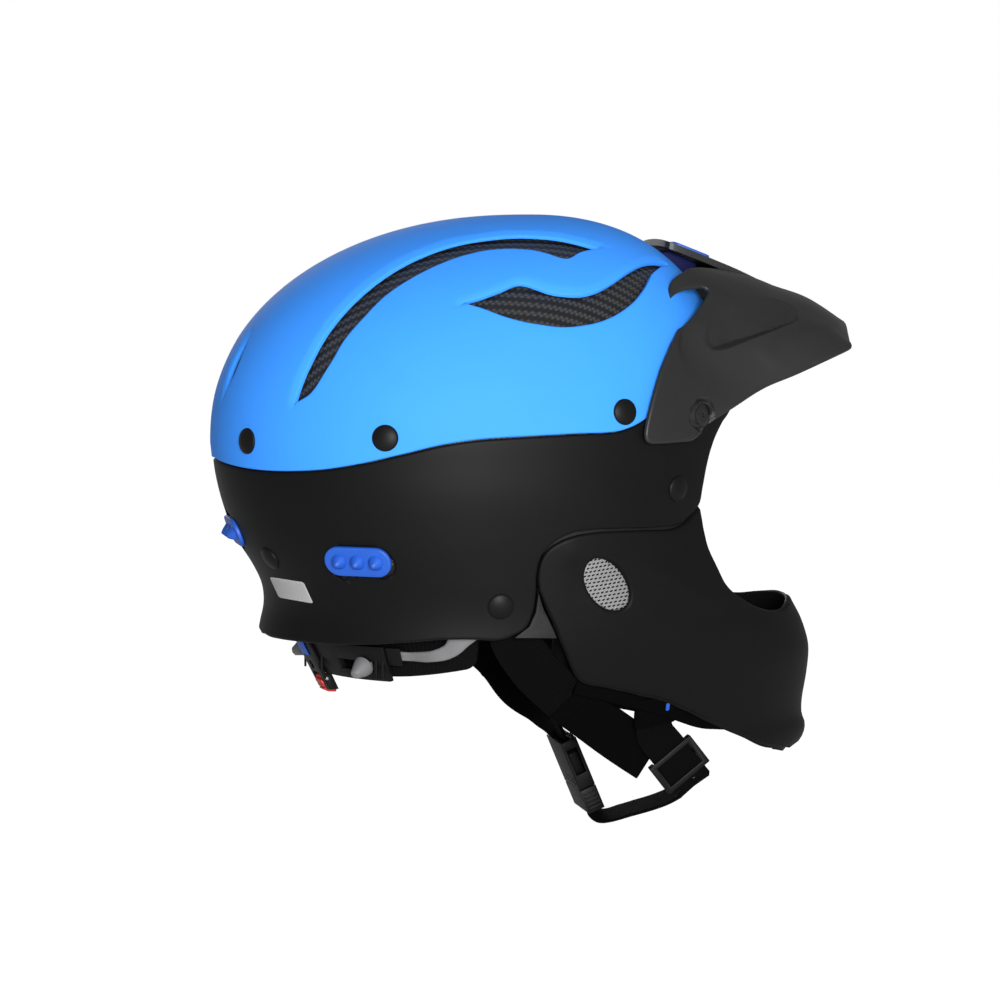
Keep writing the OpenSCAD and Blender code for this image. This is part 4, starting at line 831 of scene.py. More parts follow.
def pattern_of(place, pixels, low, high, allowed=None):
    """Places of a pattern, between two corners, that show at some pixels."""
    grid = np.array([[u, v] for u in np.linspace(low[0], high[0], 80)
                     for v in np.linspace(low[1], high[1], 60)])
    if allowed is not None:
        grid = grid[allowed(grid)]
    shown = seen_at(place(grid))
    found = []
    last = None
    for target in np.array(pixels, float):
        if last is None or np.linalg.norm(target - last) > 6:
            at = grid[np.argmin(np.linalg.norm(shown - target, axis=1))]
        for _ in range(8):
            near = seen_at(place(np.array([at, at + [0.1, 0], at + [0, 0.1]])))
            slopes = np.stack([near[1] - near[0], near[2] - near[0]], axis=1) / 0.1
            at = at + np.clip(np.linalg.lstsq(slopes, target - near[0], rcond=None)[0], -4, 4)
        found.append(at)
        last = target
    return np.array(found)

# %% [markdown]
# ## Turned pieces, set in place by Geometry Nodes
# Caps, screws and studs are turned pieces: a profile spun round an axis. Each is made once, and
# a node tree sets it on every place that a list of points names, turned to face outward.

# %% Turned pieces and the tree that sets them
def lathe(name, profile, steps=40, ring=False):
    """A closed turned piece round +Z from (radius, height) pairs in millimetres, bottom first.

    A ring has a hole, and its last pair joins its first."""
    pts, faces = [], []
    for r, z in profile:
        for k in range(steps):
            a = 2 * math.pi * k / steps
            pts.append((max(r, 0.0) * MM * math.cos(a), max(r, 0.0) * MM * math.sin(a), z * MM))
    last = len(profile) if ring else len(profile) - 1
    for i in range(last):
        up = (i + 1) % len(profile) * steps
        for k in range(steps):
            j = (k + 1) % steps
            faces.append((i * steps + k, i * steps + j, up + j, up + k))
    if not ring:
        faces.append(tuple(range(steps))[::-1])
        faces.append(tuple(range((len(profile) - 1) * steps, len(profile) * steps)))
    piece = new_mesh(name, pts, faces)
    clean = bmesh.new()
    clean.from_mesh(piece.data)
    bmesh.ops.remove_doubles(clean, verts=clean.verts, dist=1e-6)
    bmesh.ops.dissolve_degenerate(clean, edges=clean.edges, dist=1e-7)
    bmesh.ops.recalc_face_normals(clean, faces=clean.faces)
    clean.to_mesh(piece.data)
    clean.free()
    piece.data.shade_smooth()
    piece.data.set_sharp_from_angle(angle=CRISP)
    return piece


def setting_tree():
    tree = bpy.data.node_groups.new("set on places", "GeometryNodeTree")
    tree.interface.new_socket("Geometry", in_out="OUTPUT", socket_type="NodeSocketGeometry")
    for label, kind in (("Geometry", "NodeSocketGeometry"), ("Item", "NodeSocketObject"),
                        ("Size", "NodeSocketFloat"), ("Finish", "NodeSocketMaterial")):
        tree.interface.new_socket(label, in_out="INPUT", socket_type=kind)
    given, result = tree.nodes.new("NodeGroupInput"), tree.nodes.new("NodeGroupOutput")
    item = tree.nodes.new("GeometryNodeObjectInfo")
    item.inputs["As Instance"].default_value = True
    side = node(tree, "GeometryNodeInputNamedAttribute", data_type="FLOAT_VECTOR")
    side.inputs["Name"].default_value = "side"
    aim_at = node(tree, "GeometryNodeInputNamedAttribute", data_type="FLOAT_VECTOR")
    aim_at.inputs["Name"].default_value = "aim"
    first = node(tree, "FunctionNodeAlignRotationToVector", axis="Z")
    second = node(tree, "FunctionNodeAlignRotationToVector", axis="X", pivot_axis="Z")
    put = tree.nodes.new("GeometryNodeInstanceOnPoints")
    real = tree.nodes.new("GeometryNodeRealizeInstances")
    coat = tree.nodes.new("GeometryNodeSetMaterial")
    link = tree.links.new
    link(given.outputs["Item"], item.inputs["Object"])
    link(aim_at.outputs[0], first.inputs["Vector"])
    link(first.outputs[0], second.inputs["Rotation"])
    link(side.outputs[0], second.inputs["Vector"])
    link(given.outputs["Geometry"], put.inputs["Points"])
    link(item.outputs["Geometry"], put.inputs["Instance"])
    link(second.outputs[0], put.inputs["Rotation"])
    link(given.outputs["Size"], put.inputs["Scale"])
    link(put.outputs[0], real.inputs[0])
    link(real.outputs[0], coat.inputs["Geometry"])
    link(given.outputs["Finish"], coat.inputs["Material"])
    link(coat.outputs[0], result.inputs[0])
    return tree


SETTING = setting_tree()


def set_inputs(modifier, values):
    for item in modifier.node_group.interface.items_tree:
        if getattr(item, "in_out", "") == "INPUT" and item.name in values:
            modifier[item.identifier] = values[item.name]


def set_on_places(name, item, places, material, crisp=CRISP):
    """One mesh of an item set at each (point, outward, side) of a list, made by the tree."""
    mesh = bpy.data.meshes.new(name)
    mesh.from_pydata([tuple(p[0]) for p in places], [], [])
    for label, k in (("aim", 1), ("side", 2)):
        layer = mesh.attributes.new(label, "FLOAT_VECTOR", "POINT")
        layer.data.foreach_set("vector", np.array([p[k] for p in places], float).ravel())
    piece = new_object(name, mesh)
    modifier = piece.modifiers.new("set", "NODES")
    modifier.node_group = SETTING
    set_inputs(modifier, {"Item": item, "Size": 1.0, "Finish": material})
    bake(piece, crisp)
    for label in ("aim", "side"):
        if label in piece.data.attributes:
            piece.data.attributes.remove(piece.data.attributes[label])
    bpy.data.objects.remove(item)
    return piece


def place_on_shell(h, p, deep=0):
    """Point, outward direction and direction to the rear, at a place of the shell."""
    at = to_flat([h], [p])
    point = on_shell(at)[0]
    out = -normals_of(on_shell, at)[0]
    side = np.cross([0, 0, -1.0], out)
    side /= np.linalg.norm(side)
    return point - out * deep * MM, out, side


def mirrored(place):
    return tuple(np.array(v) * [-1, 1, 1] for v in place)


TOP_CAPS = [[156, 87.8], [117.2, 85.9], [68.9, 80.3]]
LOW_CAPS = [[159.7, 117.2], [93.8, 126.8], [52.4, 99.8]]
CAP_PROFILE = [
    (0.2, -3.4), (1.8, -3.4), (1.9, -0.3), (6.0, -0.3), (6.3, 0.05), (6.3, 0.55), (6.05, 0.95),
    (5.3, 1.3), (4.2, 1.72), (3.0, 2.05), (1.6, 2.26), (0.0, 2.33)]


def snap_caps(name, spots, deep, node_name):
    places = [place_on_shell(h, p, deep) for h, p in spots]
    places += [mirrored(q) for q in places]
    piece = set_on_places(name, lathe("cap_item", CAP_PROFILE), places, black_plastic)
    return dress(piece, black_plastic, "helmet", node_name)


snap_caps("top_caps_domed", TOP_CAPS, 0.35, "top_snap_caps")
snap_caps("low_caps_domed", LOW_CAPS, STEP + 0.35, "lower_snap_caps")

# %% [markdown]
# ## Rubber pads with studs
# Each pad is a flat capsule with a rounded edge that sits in its pocket. Three pointed studs
# stand on it. The capsule is rounded by a bevel, and the tree above sets the studs.

# %% Stud pads
STUD_PITCH = 9.4
STUD_PROFILE = [
    (3.9, -1.0), (3.9, 0.0), (3.75, 0.45), (3.2, 1.3), (2.45, 2.4), (1.7, 3.4), (1.05, 4.15),
    (0.5, 4.55), (0.0, 4.7)]


def slab(name, outline, low, high, place):
    """A flat piece with an outline in millimetres, between two heights, at a place."""
    point, out, side = (np.array(v, float) for v in place)
    up = np.cross(out, side)
    pts = [point + (side * x + up * y + out * z) * MM for z in (low, high) for x, y in outline]
    n = len(outline)
    faces = [tuple(range(n))[::-1], tuple(range(n, 2 * n))]
    faces += [(i, (i + 1) % n, n + (i + 1) % n, n + i) for i in range(n)]
    return new_mesh(name, pts, faces)


def join(name, pieces):
    """Several pieces in one mesh."""
    keep = pieces[0]
    with bpy.context.temp_override(active_object=keep, selected_editable_objects=pieces):
        bpy.ops.object.join()
    keep.name = name
    keep.data.name = name
    return keep


# Under the peak's tongue the top shell has a raised rib, drawn from the side. Its dark navy colour is painted
# shade for the tongue's shadow on it.
RIB_LINE = [
    (-93.4, 94), (-98.5, 88.5), (-104, 81), (-109, 76), (-112.4, 72.5), (-112.6, 88.8), (-105, 92.9),
    (-98, 95.6)]
rib = round_edges(slab("tongue_rib", RIB_LINE, -13, 13, ((0, 0, 0), (1, 0, 0), (0, 1, 0))), 1.2 * MM)
dress(top_shell, blue_shell, "helmet", "top_shell")
# The rib takes the dark navy of painted shade, for the shadow under the tongue.
dress(rib, rib_painted_shade, "helmet")


def stud_pad(name, place, node_name):
    point, out, side = place
    base = round_edges(slab(name + "_base", capsule_shape(PAD_L, PAD_H, 16), -1.9, 0.35, place),
                       0.7 * MM)
    base.data.materials.append(blue_rubber)
    spots = [(point + side * k * STUD_PITCH * MM + out * 0.2 * MM, out, side) for k in (-1, 0, 1)]
    studs = set_on_places(name + "_studs", lathe("stud_item", STUD_PROFILE, 32), spots, blue_rubber)
    piece = join(name, [base, studs])
    return dress(piece, blue_rubber, "helmet", node_name)


pad_place = place_on_shell(*PAD_SPOT)
stud_pad("stud_pad_right_rubber", pad_place, "stud_pad_right")
stud_pad("stud_pad_left_rubber", mirrored(pad_place), "stud_pad_left")
stud_pad("stud_pad_rear_rubber", place_on_shell(*REAR_PAD_SPOT), "stud_pad_rear")

# %% [markdown]
# ## The blank label
# A thin film label sits near the rear. Its print is left off, so it is bare, with rounded
# corners. Its corners are placed as the camera sees them, and found on the shell.

# %% Label
LABEL_SEEN = [(268.6, 577), (302.6, 582.4), (312.4, 603.6), (278, 597.6)]
LABEL_CORNER = 0.09
LABEL_AREA = (-128, 25), (-100, 62)


def rounded_box(w, h, r, count=6):
    out = []
    for cx, cy, start in ((w / 2 - r, h / 2 - r, 0), (-w / 2 + r, h / 2 - r, 90),
                          (-w / 2 + r, -h / 2 + r, 180), (w / 2 - r, -h / 2 + r, 270)):
        for k in range(count + 1):
            a = math.radians(start + 90 * k / count)
            out.append((cx + r * math.cos(a), cy + r * math.sin(a)))
    return np.array(out)


def cut_corners(corners, share, count=5):
    """A closed outline through straight sides, with each corner drawn as a small arc."""
    pts = np.array(corners, float)
    out = []
    for i, corner in enumerate(pts):
        start = corner + (pts[i - 1] - corner) * share
        end = corner + (pts[(i + 1) % len(pts)] - corner) * share
        for k in range(count + 1):
            t = k / count
            out.append(start * (1 - t) ** 2 + corner * 2 * t * (1 - t) + end * t**2)
        far = pts[(i + 1) % len(pts)] + (corner - pts[(i + 1) % len(pts)]) * share
        out += [end + (far - end) * k / 8 for k in range(1, 8)]
    return np.array(out)


label_seen = cut_corners(LABEL_SEEN, LABEL_CORNER)
label_loop = pattern_of(on_shell, label_seen, *LABEL_AREA)
label = panel("label_film_piece", on_shell, label_loop, [], 2.0, -0.25 + STEP, STEP + 0.1,
              rounding(0.12 * MM), turn=-1, rows=(0.2, 0.6))
dress(label, label_film, "helmet", "label_patch")

# %% [markdown]
# ## The chin guard
# The guard is one bent sheet from ear to ear. Its form is a rounded plan whose width and reach
# change with height. The same cutter trims it, with the ear vents as holes. Two soft creases run
# forward from each vent, which the relief adds.

# %% Chin guard
GUARD_HALF = [
    [-163, 69], [-145, 75], [-125, 83], [-110, 88.5], [-90, 94], [-67, 97.5], [-37, 101.5],
    [-20, 101.5]]
GUARD_FORE = [
    [-163, 142], [-161, 149], [-157, 154], [-150, 156], [-144, 154], [-136, 154], [-123, 156],
    [-111, 157], [-104, 156], [-93, 152], [-84, 147], [-75, 143], [-60, 134], [-37, 120], [-20, 116]]
GUARD_TOP = [
    [90, -82], [83, -82], [73, -84], [64, -86], [56, -84], [49, -78], [44.5, -70], [43.3, -60],
    [42.7, -50], [43.3, -42], [43.9, -35], [43.8, -29.5], [38, -36], [32.5, -39], [25, -38.6],
    [17.5, -38.2], [10.5, -38.3], [4, -39.8], [-2.5, -44], [-5.3, -50], [-6, -58], [-5.4, -66]]
GUARD_LOW = [
    [90, -163], [76, -161.5], [64, -158.5], [54, -155], [47, -149], [41, -142.5], [36, -137],
    [33.5, -134], [31, -131], [29, -129], [27.5, -127], [25.5, -125], [22.5, -122.5], [20, -121],
    [17, -118.5], [14.5, -117], [12, -115.2], [9.5, -114], [6.9, -112], [4.8, -107], [1.4, -92],
    [-3.4, -74]]
ARC_MM = 2.0
GUARD_T = 3.2


def guard(a, z, deep=0):
    a = np.radians(np.asarray(a, float))
    z = np.asarray(z, float)
    half = curve(GUARD_HALF, z) - deep
    fore = curve(GUARD_FORE, z) - deep
    x = -half * signed_power(np.cos(a), 2 / 1.8)
    y = -20 - fore * signed_power(np.sin(a), 2 / 1.8)
    return np.stack([x, y, z], axis=-1) * MM


def on_guard(flat, deep=0):
    return guard(flat[:, 0] / ARC_MM, flat[:, 1], deep)


def guard_flat(pairs):
    pairs = np.array(pairs, float)
    return pairs * [ARC_MM, 1]


def across_middle(flat):
    """The mirror image on the wearer's left of points on the guard's pattern."""
    return flat * [-1, 1] + [2 * 90 * ARC_MM, 0]


def guard_outline():
    top = smooth_loop(guard_flat(GUARD_TOP), 1.6, closed=False, corners=(11,))
    low = smooth_loop(guard_flat(GUARD_LOW), 1.6, closed=False)
    side = np.vstack([low, top[::-1]])
    return np.vstack([side, across_middle(side)[-2:0:-1]])


def oval_shape(a, b, lean, count=56):
    t = np.linspace(0, 2 * math.pi, count, endpoint=False)
    c, s = math.cos(lean), math.sin(lean)
    x, y = a * np.cos(t), b * np.sin(t)
    return np.stack([x * c - y * s, x * s + y * c], axis=1)


EAR_AT = (12.2 * ARC_MM, -64)
LEFT_EAR_AT = tuple(across_middle(np.array([EAR_AT]))[0])
EAR_L, EAR_W, EAR_LEAN = 31, 19, math.radians(-48)
EAR_SINK, EAR_SINK_R = 0.7, 26
ear_loop = local_on(on_guard, EAR_AT, oval_shape(EAR_L / 2, EAR_W / 2, EAR_LEAN), 1)
GUARD_CREASES = [
    ([[4, -47], [10.8, -50], [20.1, -55], [31.1, -66], [38, -76]], 0.9, 12),
    ([[9, -72], [11.6, -80], [15.6, -92], [21, -104]], 0.7, 11)]


def guard_relief(flat, base, away):
    push = np.zeros(len(flat))
    for pairs, height, width in GUARD_CREASES:
        line = smooth_loop(guard_flat(pairs), 2.0, closed=False)
        for q in (line, across_middle(line)):
            d = distances(base, [on_guard(q)]) / (width * MM)
            push += height * MM * np.clip(1 - d, 0, 1) ** 1.3
    for at in (EAR_AT, LEFT_EAR_AT):
        centre = on_guard(np.array([at]))[0]
        d = np.linalg.norm(base - centre, axis=1) / MM
        push -= EAR_SINK * MM * np.clip(1 - d / EAR_SINK_R, 0, 1) ** 1.5
    return push


guard_piece = panel("chin_guard_skin", on_guard, guard_outline(), [ear_loop, across_middle(ear_loop)[::-1]],
                    2.8, 0, GUARD_T, rounding(1.5 * MM), relief=guard_relief, scale=1.0,
                    rows=(0.3, 0.8, 1.4, 2.2, 3.4), inner_drop=rounding(1.2 * MM))
dress(guard_piece, black_shell, "helmet", "chin_guard")

# A dark sheet behind the guard's upper edge closes the joint below the lower shell. It is painted shade: a
# black sheet in the black rubber finish, put where the joint shows only shadow.
SHADE_SHEET_LINE = [
    [-3, -54], [-4, -45], [2, -38], [9, -35.5], [17.5, -33.5], [28, -33.5], [36, -31.5], [41, -27],
    [44.5, -26.5], [43.2, -40], [36, -46], [20, -47], [8, -49]]
shade_sheet_flat = smooth_loop(guard_flat(SHADE_SHEET_LINE), 2.4)
shade_sheets = [panel(f"joint_lip_{k}", on_guard, q, [], 3.0, GUARD_T + 1.4, GUARD_T + 3, rounding(0.3 * MM),
              rows=(0.5,)) for k, q in enumerate((shade_sheet_flat, across_middle(shade_sheet_flat)[::-1]))]
# The sheet in the joint is painted shade, standing in for the shadow inside the joint.
dress(join("joint_lips", shade_sheets), black_rubber, "helmet")
print(guard_piece.name, len(guard_piece.data.polygons), "faces")

# %% [markdown]
# ## Ear mesh
# Expanded metal is a lattice of slanted slots. One cell of it, a plate with a slot, is repeated
# over a lattice by the same tree, and the flat plate is then bent onto the guard inside its vent.

# %% Ear mesh
CELL_A, CELL_B = np.array([2.35, 0.25]), np.array([0.75, 1.95])
MESH_DEEP = 2.1
MESH_THICK = 0.55
SLOT_L, SLOT_W = 0.86, 0.46


def mesh_cell():
    corners = [(-CELL_A - CELL_B) / 2, -CELL_B / 2, (CELL_A - CELL_B) / 2, CELL_A / 2,
               (CELL_A + CELL_B) / 2, CELL_B / 2, (CELL_B - CELL_A) / 2, -CELL_A / 2]
    slot_line = []
    for c in corners:
        t = math.atan2(c[1], c[0])
        x, y = SLOT_L * math.cos(t), SLOT_W * math.sin(t)
        slot_line.append(np.array([x - 0.25 * y, y + 0.28 * x]))
    pts, faces = [], []
    for z in (0.0, -MESH_THICK):
        pts += [(*(c * MM), z * MM) for c in corners]
        pts += [(*(c * MM), z * MM) for c in slot_line]
    for i in range(8):
        j = (i + 1) % 8
        faces += [(i, j, 8 + j, 8 + i), (8 + i, 8 + j, 24 + j, 24 + i), (16 + j, 16 + i, 24 + i, 24 + j)]
    return new_mesh("cell_item", pts, faces, crisp=math.radians(30))


def ear_mesh(name, node_name, at, turn):
    spots = []
    for i in range(-12, 13):
        for j in range(-12, 13):
            q = i * CELL_A + j * CELL_B
            c, s = math.cos(-EAR_LEAN), math.sin(-EAR_LEAN)
            u, v = q[0] * c - q[1] * s, q[0] * s + q[1] * c
            if (u / (EAR_L / 2 + 0.6)) ** 2 + (v / (EAR_W / 2 + 0.6)) ** 2 < 1:
                spots.append(((q[0] * MM, q[1] * MM, 0), (0, 0, 1), (1, 0, 0)))
    plate = set_on_places(name, mesh_cell(), spots, mesh_metal, crisp=math.radians(30))
    co = coordinates(plate.data)
    flat = local_on(on_guard, at, co[:, :2] / MM * [turn, 1], 1)
    out = normals_of(on_guard, flat)
    set_coordinates(plate.data, on_guard(flat, MESH_DEEP) + out * co[:, 2:])
    if turn < 0:
        plate.data.flip_normals()
    plate.data.set_sharp_from_angle(angle=math.radians(30))
    return dress(plate, mesh_metal, "helmet", node_name)


ear_mesh("ear_mesh_right_metal", "ear_mesh_right", EAR_AT, 1)
ear_mesh("ear_mesh_left_metal", "ear_mesh_left", LEFT_EAR_AT, -1)

# %% [markdown]
# ## The peak
# The peak is a bent sheet between three rails: its rear edge, a middle line and its front edge.
# The sheet is cut as the shells are, in a pattern of rail places. The hook is cut out of its rear
# edge, and its relief holds a scooped hollow with one sharp side, a crease that runs to the front
# corner, and a dish round each screw. A side view shows these best, so they are drawn by where
# the camera sees them and then found on the form.

# %% Sizes of the peak
PEAK_LIFT = 4.4
PEAK_T = 2.4


def lifted_form(flat):
    """The shell's surface, lifted by the gap that the peak keeps from it."""
    return on_shell(flat) - normals_of(on_shell, flat) * PEAK_LIFT * MM


def lifted(h, p):
    """A place of the lifted surface, in millimetres."""
    point, out = place_on_shell(h, p)[:2]
    return (point + out * PEAK_LIFT * MM) / MM


# %% Rails of the peak

PEAK_REAR = [
    [0, -118, 86.5], [-12, -117, 86.6], [-24, -115, 86.8], [-36, -111, 87], [-46, -103, 87.6],
    [-54, -94.5, 86.5], [-59, -88.5, 82.5], [-62.2, -87.8, 77], [-64.8, -87.4, 73],
    [-68.4, -87.8, 68.8], [-72.9, -88.1, 64.4]]
REAR_SEEN = [
    (684, 325), (679.2, 333.5), (672.8, 344.6), (665.5, 361), (658, 383), (651, 408), (647, 436)]
PEAK_MID = [
    [0, -150, 79.6], [-15, -149.5, 79], [-30, -147, 77.2], [-43, -142, 74], [-54, -136, 69],
    [-63, -131, 61], [-69, -121, 54], [45.5, 68], [50, 74.5], [54, 80], [57, 85]]
MID_SEEN = [(670, 443.6)]
PEAK_FRONT = [
    [0, -195.5, 56.5], [-17, -191.2, 55.6], [-34, -186.4, 53], [-48, -182.8, 50], [-58, -180, 47.5],
    [-64, -168, 42.5], [-69, -149, 35], [-72.5, -130, 28], [-76.5, -113, 18.5]]
FRONT_SEEN = [(710.4, 424.1), (702, 433.6), (693.6, 440.6)]
PEAK_SHARE = [
    0, 0.09, 0.18, 0.27, 0.36, 0.42, 0.46, 0.49, 0.52, 0.55, 0.58, 0.63, 0.69, 0.75, 0.81, 0.87, 0.93,
    1]


def rail_points(rail, seen):
    """A rail in millimetres: places, then places above the shell that show at some pixels."""
    near_shell = lifted_form(pattern_of(lifted_form, seen, (8, 20), (80, 92))) / MM
    return np.vstack([[q if len(q) == 3 else lifted(*q) for q in rail], near_shell])


def along(points, t):
    """A smooth curve through rail points, at places counted in points."""
    last = len(points) - 1
    i = np.clip(np.floor(t).astype(int), 0, last - 1)
    w = (t - i)[:, None]
    a, b = points[np.maximum(i - 1, 0)], points[i]
    c, d = points[i + 1], points[np.minimum(i + 2, last)]
    return (2 * b + (c - a) * w + (2 * a - 5 * b + 4 * c - d) * w**2
            + (3 * b - a - 3 * c + d) * w**3) / 2


REAR_RAIL = rail_points(PEAK_REAR, REAR_SEEN)
MID_RAIL = rail_points(PEAK_MID, MID_SEEN)
FRONT_RAIL = rail_points(PEAK_FRONT, FRONT_SEEN)


def mirrored_start(points):
    """The rail with one more point before its middle, so that it crosses the middle smoothly."""
    return np.vstack([points[1] * [-1, 1, 1], points])


LAST_PLACE = len(REAR_RAIL) - 1.0


def peak_place(i, v):
    """Points of the peak in millimetres: i counts the rails' places, v runs from rear to front."""
    beyond = np.maximum(i - LAST_PLACE, 0)[:, None]
    if beyond.any():
        end, before = (peak_place(0 * i + LAST_PLACE - k, v) for k in (0, 0.2))
        on_rails = peak_place(np.minimum(i, LAST_PLACE), v)
        return np.where(beyond > 0, end + (end - before) * beyond / 0.2, on_rails)
    v = np.asarray(v, float)[:, None]
    share = np.interp(i, np.arange(len(PEAK_SHARE)), PEAK_SHARE)
    rear = along(mirrored_start(REAR_RAIL), i + 1)
    mid = along(mirrored_start(MID_RAIL), share * (len(MID_RAIL) - 1) + 1)
    front = along(mirrored_start(FRONT_RAIL), share * (len(FRONT_RAIL) - 1) + 1)
    return rear * (1 - v) * (1 - 2 * v) + mid * 4 * v * (1 - v) + front * v * (2 * v - 1)


# The pattern is in millimetres: along the middle line, and from the rear edge to the front edge.
PLACES = np.arange(len(REAR_RAIL), dtype=float)
rear_line, mid_line, front_line = (peak_place(PLACES, 0 * PLACES + v) for v in (0, 0.5, 1))
STATIONS = np.concatenate([[0], np.cumsum(np.linalg.norm(np.diff(mid_line, axis=0), axis=1))])
LENGTHS = np.linalg.norm(mid_line - rear_line, axis=1) + np.linalg.norm(front_line - mid_line, axis=1)


def peak_form(flat, deep=0):
    """Points of the peak from its pattern, and inside it by a depth in millimetres."""
    i = np.interp(np.abs(flat[:, 0]), np.append(STATIONS, 2 * STATIONS[-1] - STATIONS[-2]),
                  np.append(PLACES, LAST_PLACE + 1))
    p = peak_place(i, flat[:, 1] / np.interp(i, PLACES, LENGTHS))
    p[:, 0] *= np.where(flat[:, 0] < 0, -1.0, 1.0)
    p *= MM
    if deep:
        p = p - normals_of(lambda q, d: peak_form(q), flat, 0, 0.2) * deep * MM
    return p


print("peak pattern:", np.round(STATIONS[-1], 1), "mm to a side,", np.round(LENGTHS[0], 1), "mm deep")

# %% Lines drawn on the peak as the camera sees them
EDGE_SEEN = [
    (685.5, 270.2), (680.8, 272.3), (676.7, 275.3), (673.2, 278.9), (670.6, 283), (669.2, 287.5),
    (668.9, 292), (669.8, 295.8), (671.1, 298.3), (673, 295.4), (676.7, 292.5), (682, 290.3),
    (688.4, 288.5), (695, 287.3), (701.6, 286.6), (706.4, 288), (708.9, 291.4), (707, 295.6),
    (703, 302), (698.7, 308.3), (693.4, 315), (688.4, 321.5), (682.4, 329.4), (676.7, 337.6),
    (672.8, 344.6), (669.3, 352.3), (665.5, 361), (662, 369.9), (659, 379.4), (656.1, 389),
    (653.5, 398.5), (651, 408), (649, 416), (647.3, 424.1), (646.1, 431), (646.1, 437), (648, 441.8),
    (653, 444.2), (663.5, 444.1), (673, 443.4), (682.5, 442.5), (689, 441.8), (694.6, 440),
    (701.6, 434.4), (710.4, 424.1)]
TIP, LEAST_STEP = 8, 1.1
SCOOP_HIGH = [
    (704.5, 336.2), (708.9, 324.4), (714.8, 315.6), (722.1, 308.3), (736.8, 301.7), (757.3, 298),
    (772, 298.3), (786.6, 303.9), (795.4, 311.2), (798.4, 321.5)]
SCOOP_LOW = [
    (704.5, 336.2), (706.7, 343.5), (713.3, 350.1), (722.1, 350.1), (730.9, 347.9), (748.5, 340.6),
    (764.6, 334.7), (779.3, 328.8), (798.4, 321.5)]
PEAK_CREASE = [(779.3, 344.2), (794, 339.1), (808.6, 334.7), (824.8, 329.6), (841, 324.8)]


def on_peak(flat):
    """Which places of the pattern lie on the peak, and not beyond its front edge."""
    return flat[:, 1] < np.interp(flat[:, 0], STATIONS, LENGTHS) + 1


edge_line = smooth_loop(EDGE_SEEN, 0.8, closed=False, corners=(TIP,))
edge_flat = pattern_of(peak_form, edge_line, (STATIONS[4] + 4, -8), (STATIONS[-1] + 2, 60), on_peak)
tip_index = np.argmin(np.linalg.norm(edge_line - EDGE_SEEN[TIP], axis=1))
kept = [0]
for k, flat in enumerate(edge_flat):
    if k == tip_index or np.linalg.norm(flat - edge_flat[kept[-1]]) > LEAST_STEP:
        kept.append(k)
edge_line, edge_flat = edge_line[kept], edge_flat[kept]
scoop_high, scoop_low, peak_crease = (
    pattern_of(peak_form, smooth_loop(line, 3, closed=False), (STATIONS[2], 0), (STATIONS[-1], 95), on_peak)
    for line in (SCOOP_HIGH, SCOOP_LOW, PEAK_CREASE))
shown = seen_at(peak_form(edge_flat))
print("edge drawn to", np.round(np.abs(shown - edge_line).max(), 2), "pixels at worst")
print("longest step of the edge", np.round(np.linalg.norm(np.diff(edge_flat, axis=0), axis=1).max(), 1))

# %% Cut the peak
PEAK_SCREW = (47.6, 82)
SCREW_HOLE = 10.9
DISH_D, DISH_LOW, DISH_LIP, DISH_DEEP = 17, 14.6, 12, 1.9
BROW_HIGH, BROW_WIDE, BROW_FADE = 2.6, 60, 28
SCOOP_DEEP, SCOOP_WALL = 5.4, 3.2
CREASE_HIGH, CREASE_WIDE, CREASE_START = 2.0, 15, 26
LIP_HIGH, LIP_HALF = 0.4, 0.6
screw_place = place_on_shell(*PEAK_SCREW)
screw_places = [screw_place, mirrored(screw_place)]
screw_point, screw_out = screw_place[:2]


def screw_pattern():
    """Place of the peak's pattern that lies on the line of the screw."""
    grid = np.array([[u, v] for u in np.linspace(STATIONS[11], STATIONS[-1], 200)
                     for v in np.linspace(2, 64, 160)])
    off = peak_form(grid) - screw_point
    off -= np.outer(off @ screw_out, screw_out)
    return tuple(grid[np.argmin(np.linalg.norm(off, axis=1))])


def peak_outline():
    steps = np.arange(0, edge_flat[0, 0] - 1.2, 1.3)
    rear = np.stack([steps, 0 * steps], axis=1)
    steps = np.arange(edge_flat[-1, 0] - 2, 0, -1.4)
    front = np.stack([steps, np.interp(steps, STATIONS, LENGTHS)], axis=1)
    side = np.vstack([rear, edge_flat, front, [[0.0, LENGTHS[0]]]])
    return np.vstack([side, (side * [-1, 1])[-2:0:-1]])


def smooth_share(t):
    t = np.clip(t, 0, 1)
    return t * t * (3 - 2 * t)


def beside(line, gap):
    """A line of the pattern, drawn again beside itself."""
    ahead = np.gradient(line, axis=0)
    ahead /= np.linalg.norm(ahead, axis=1, keepdims=True)
    return line + ahead[:, ::-1] * [1, -1] * gap


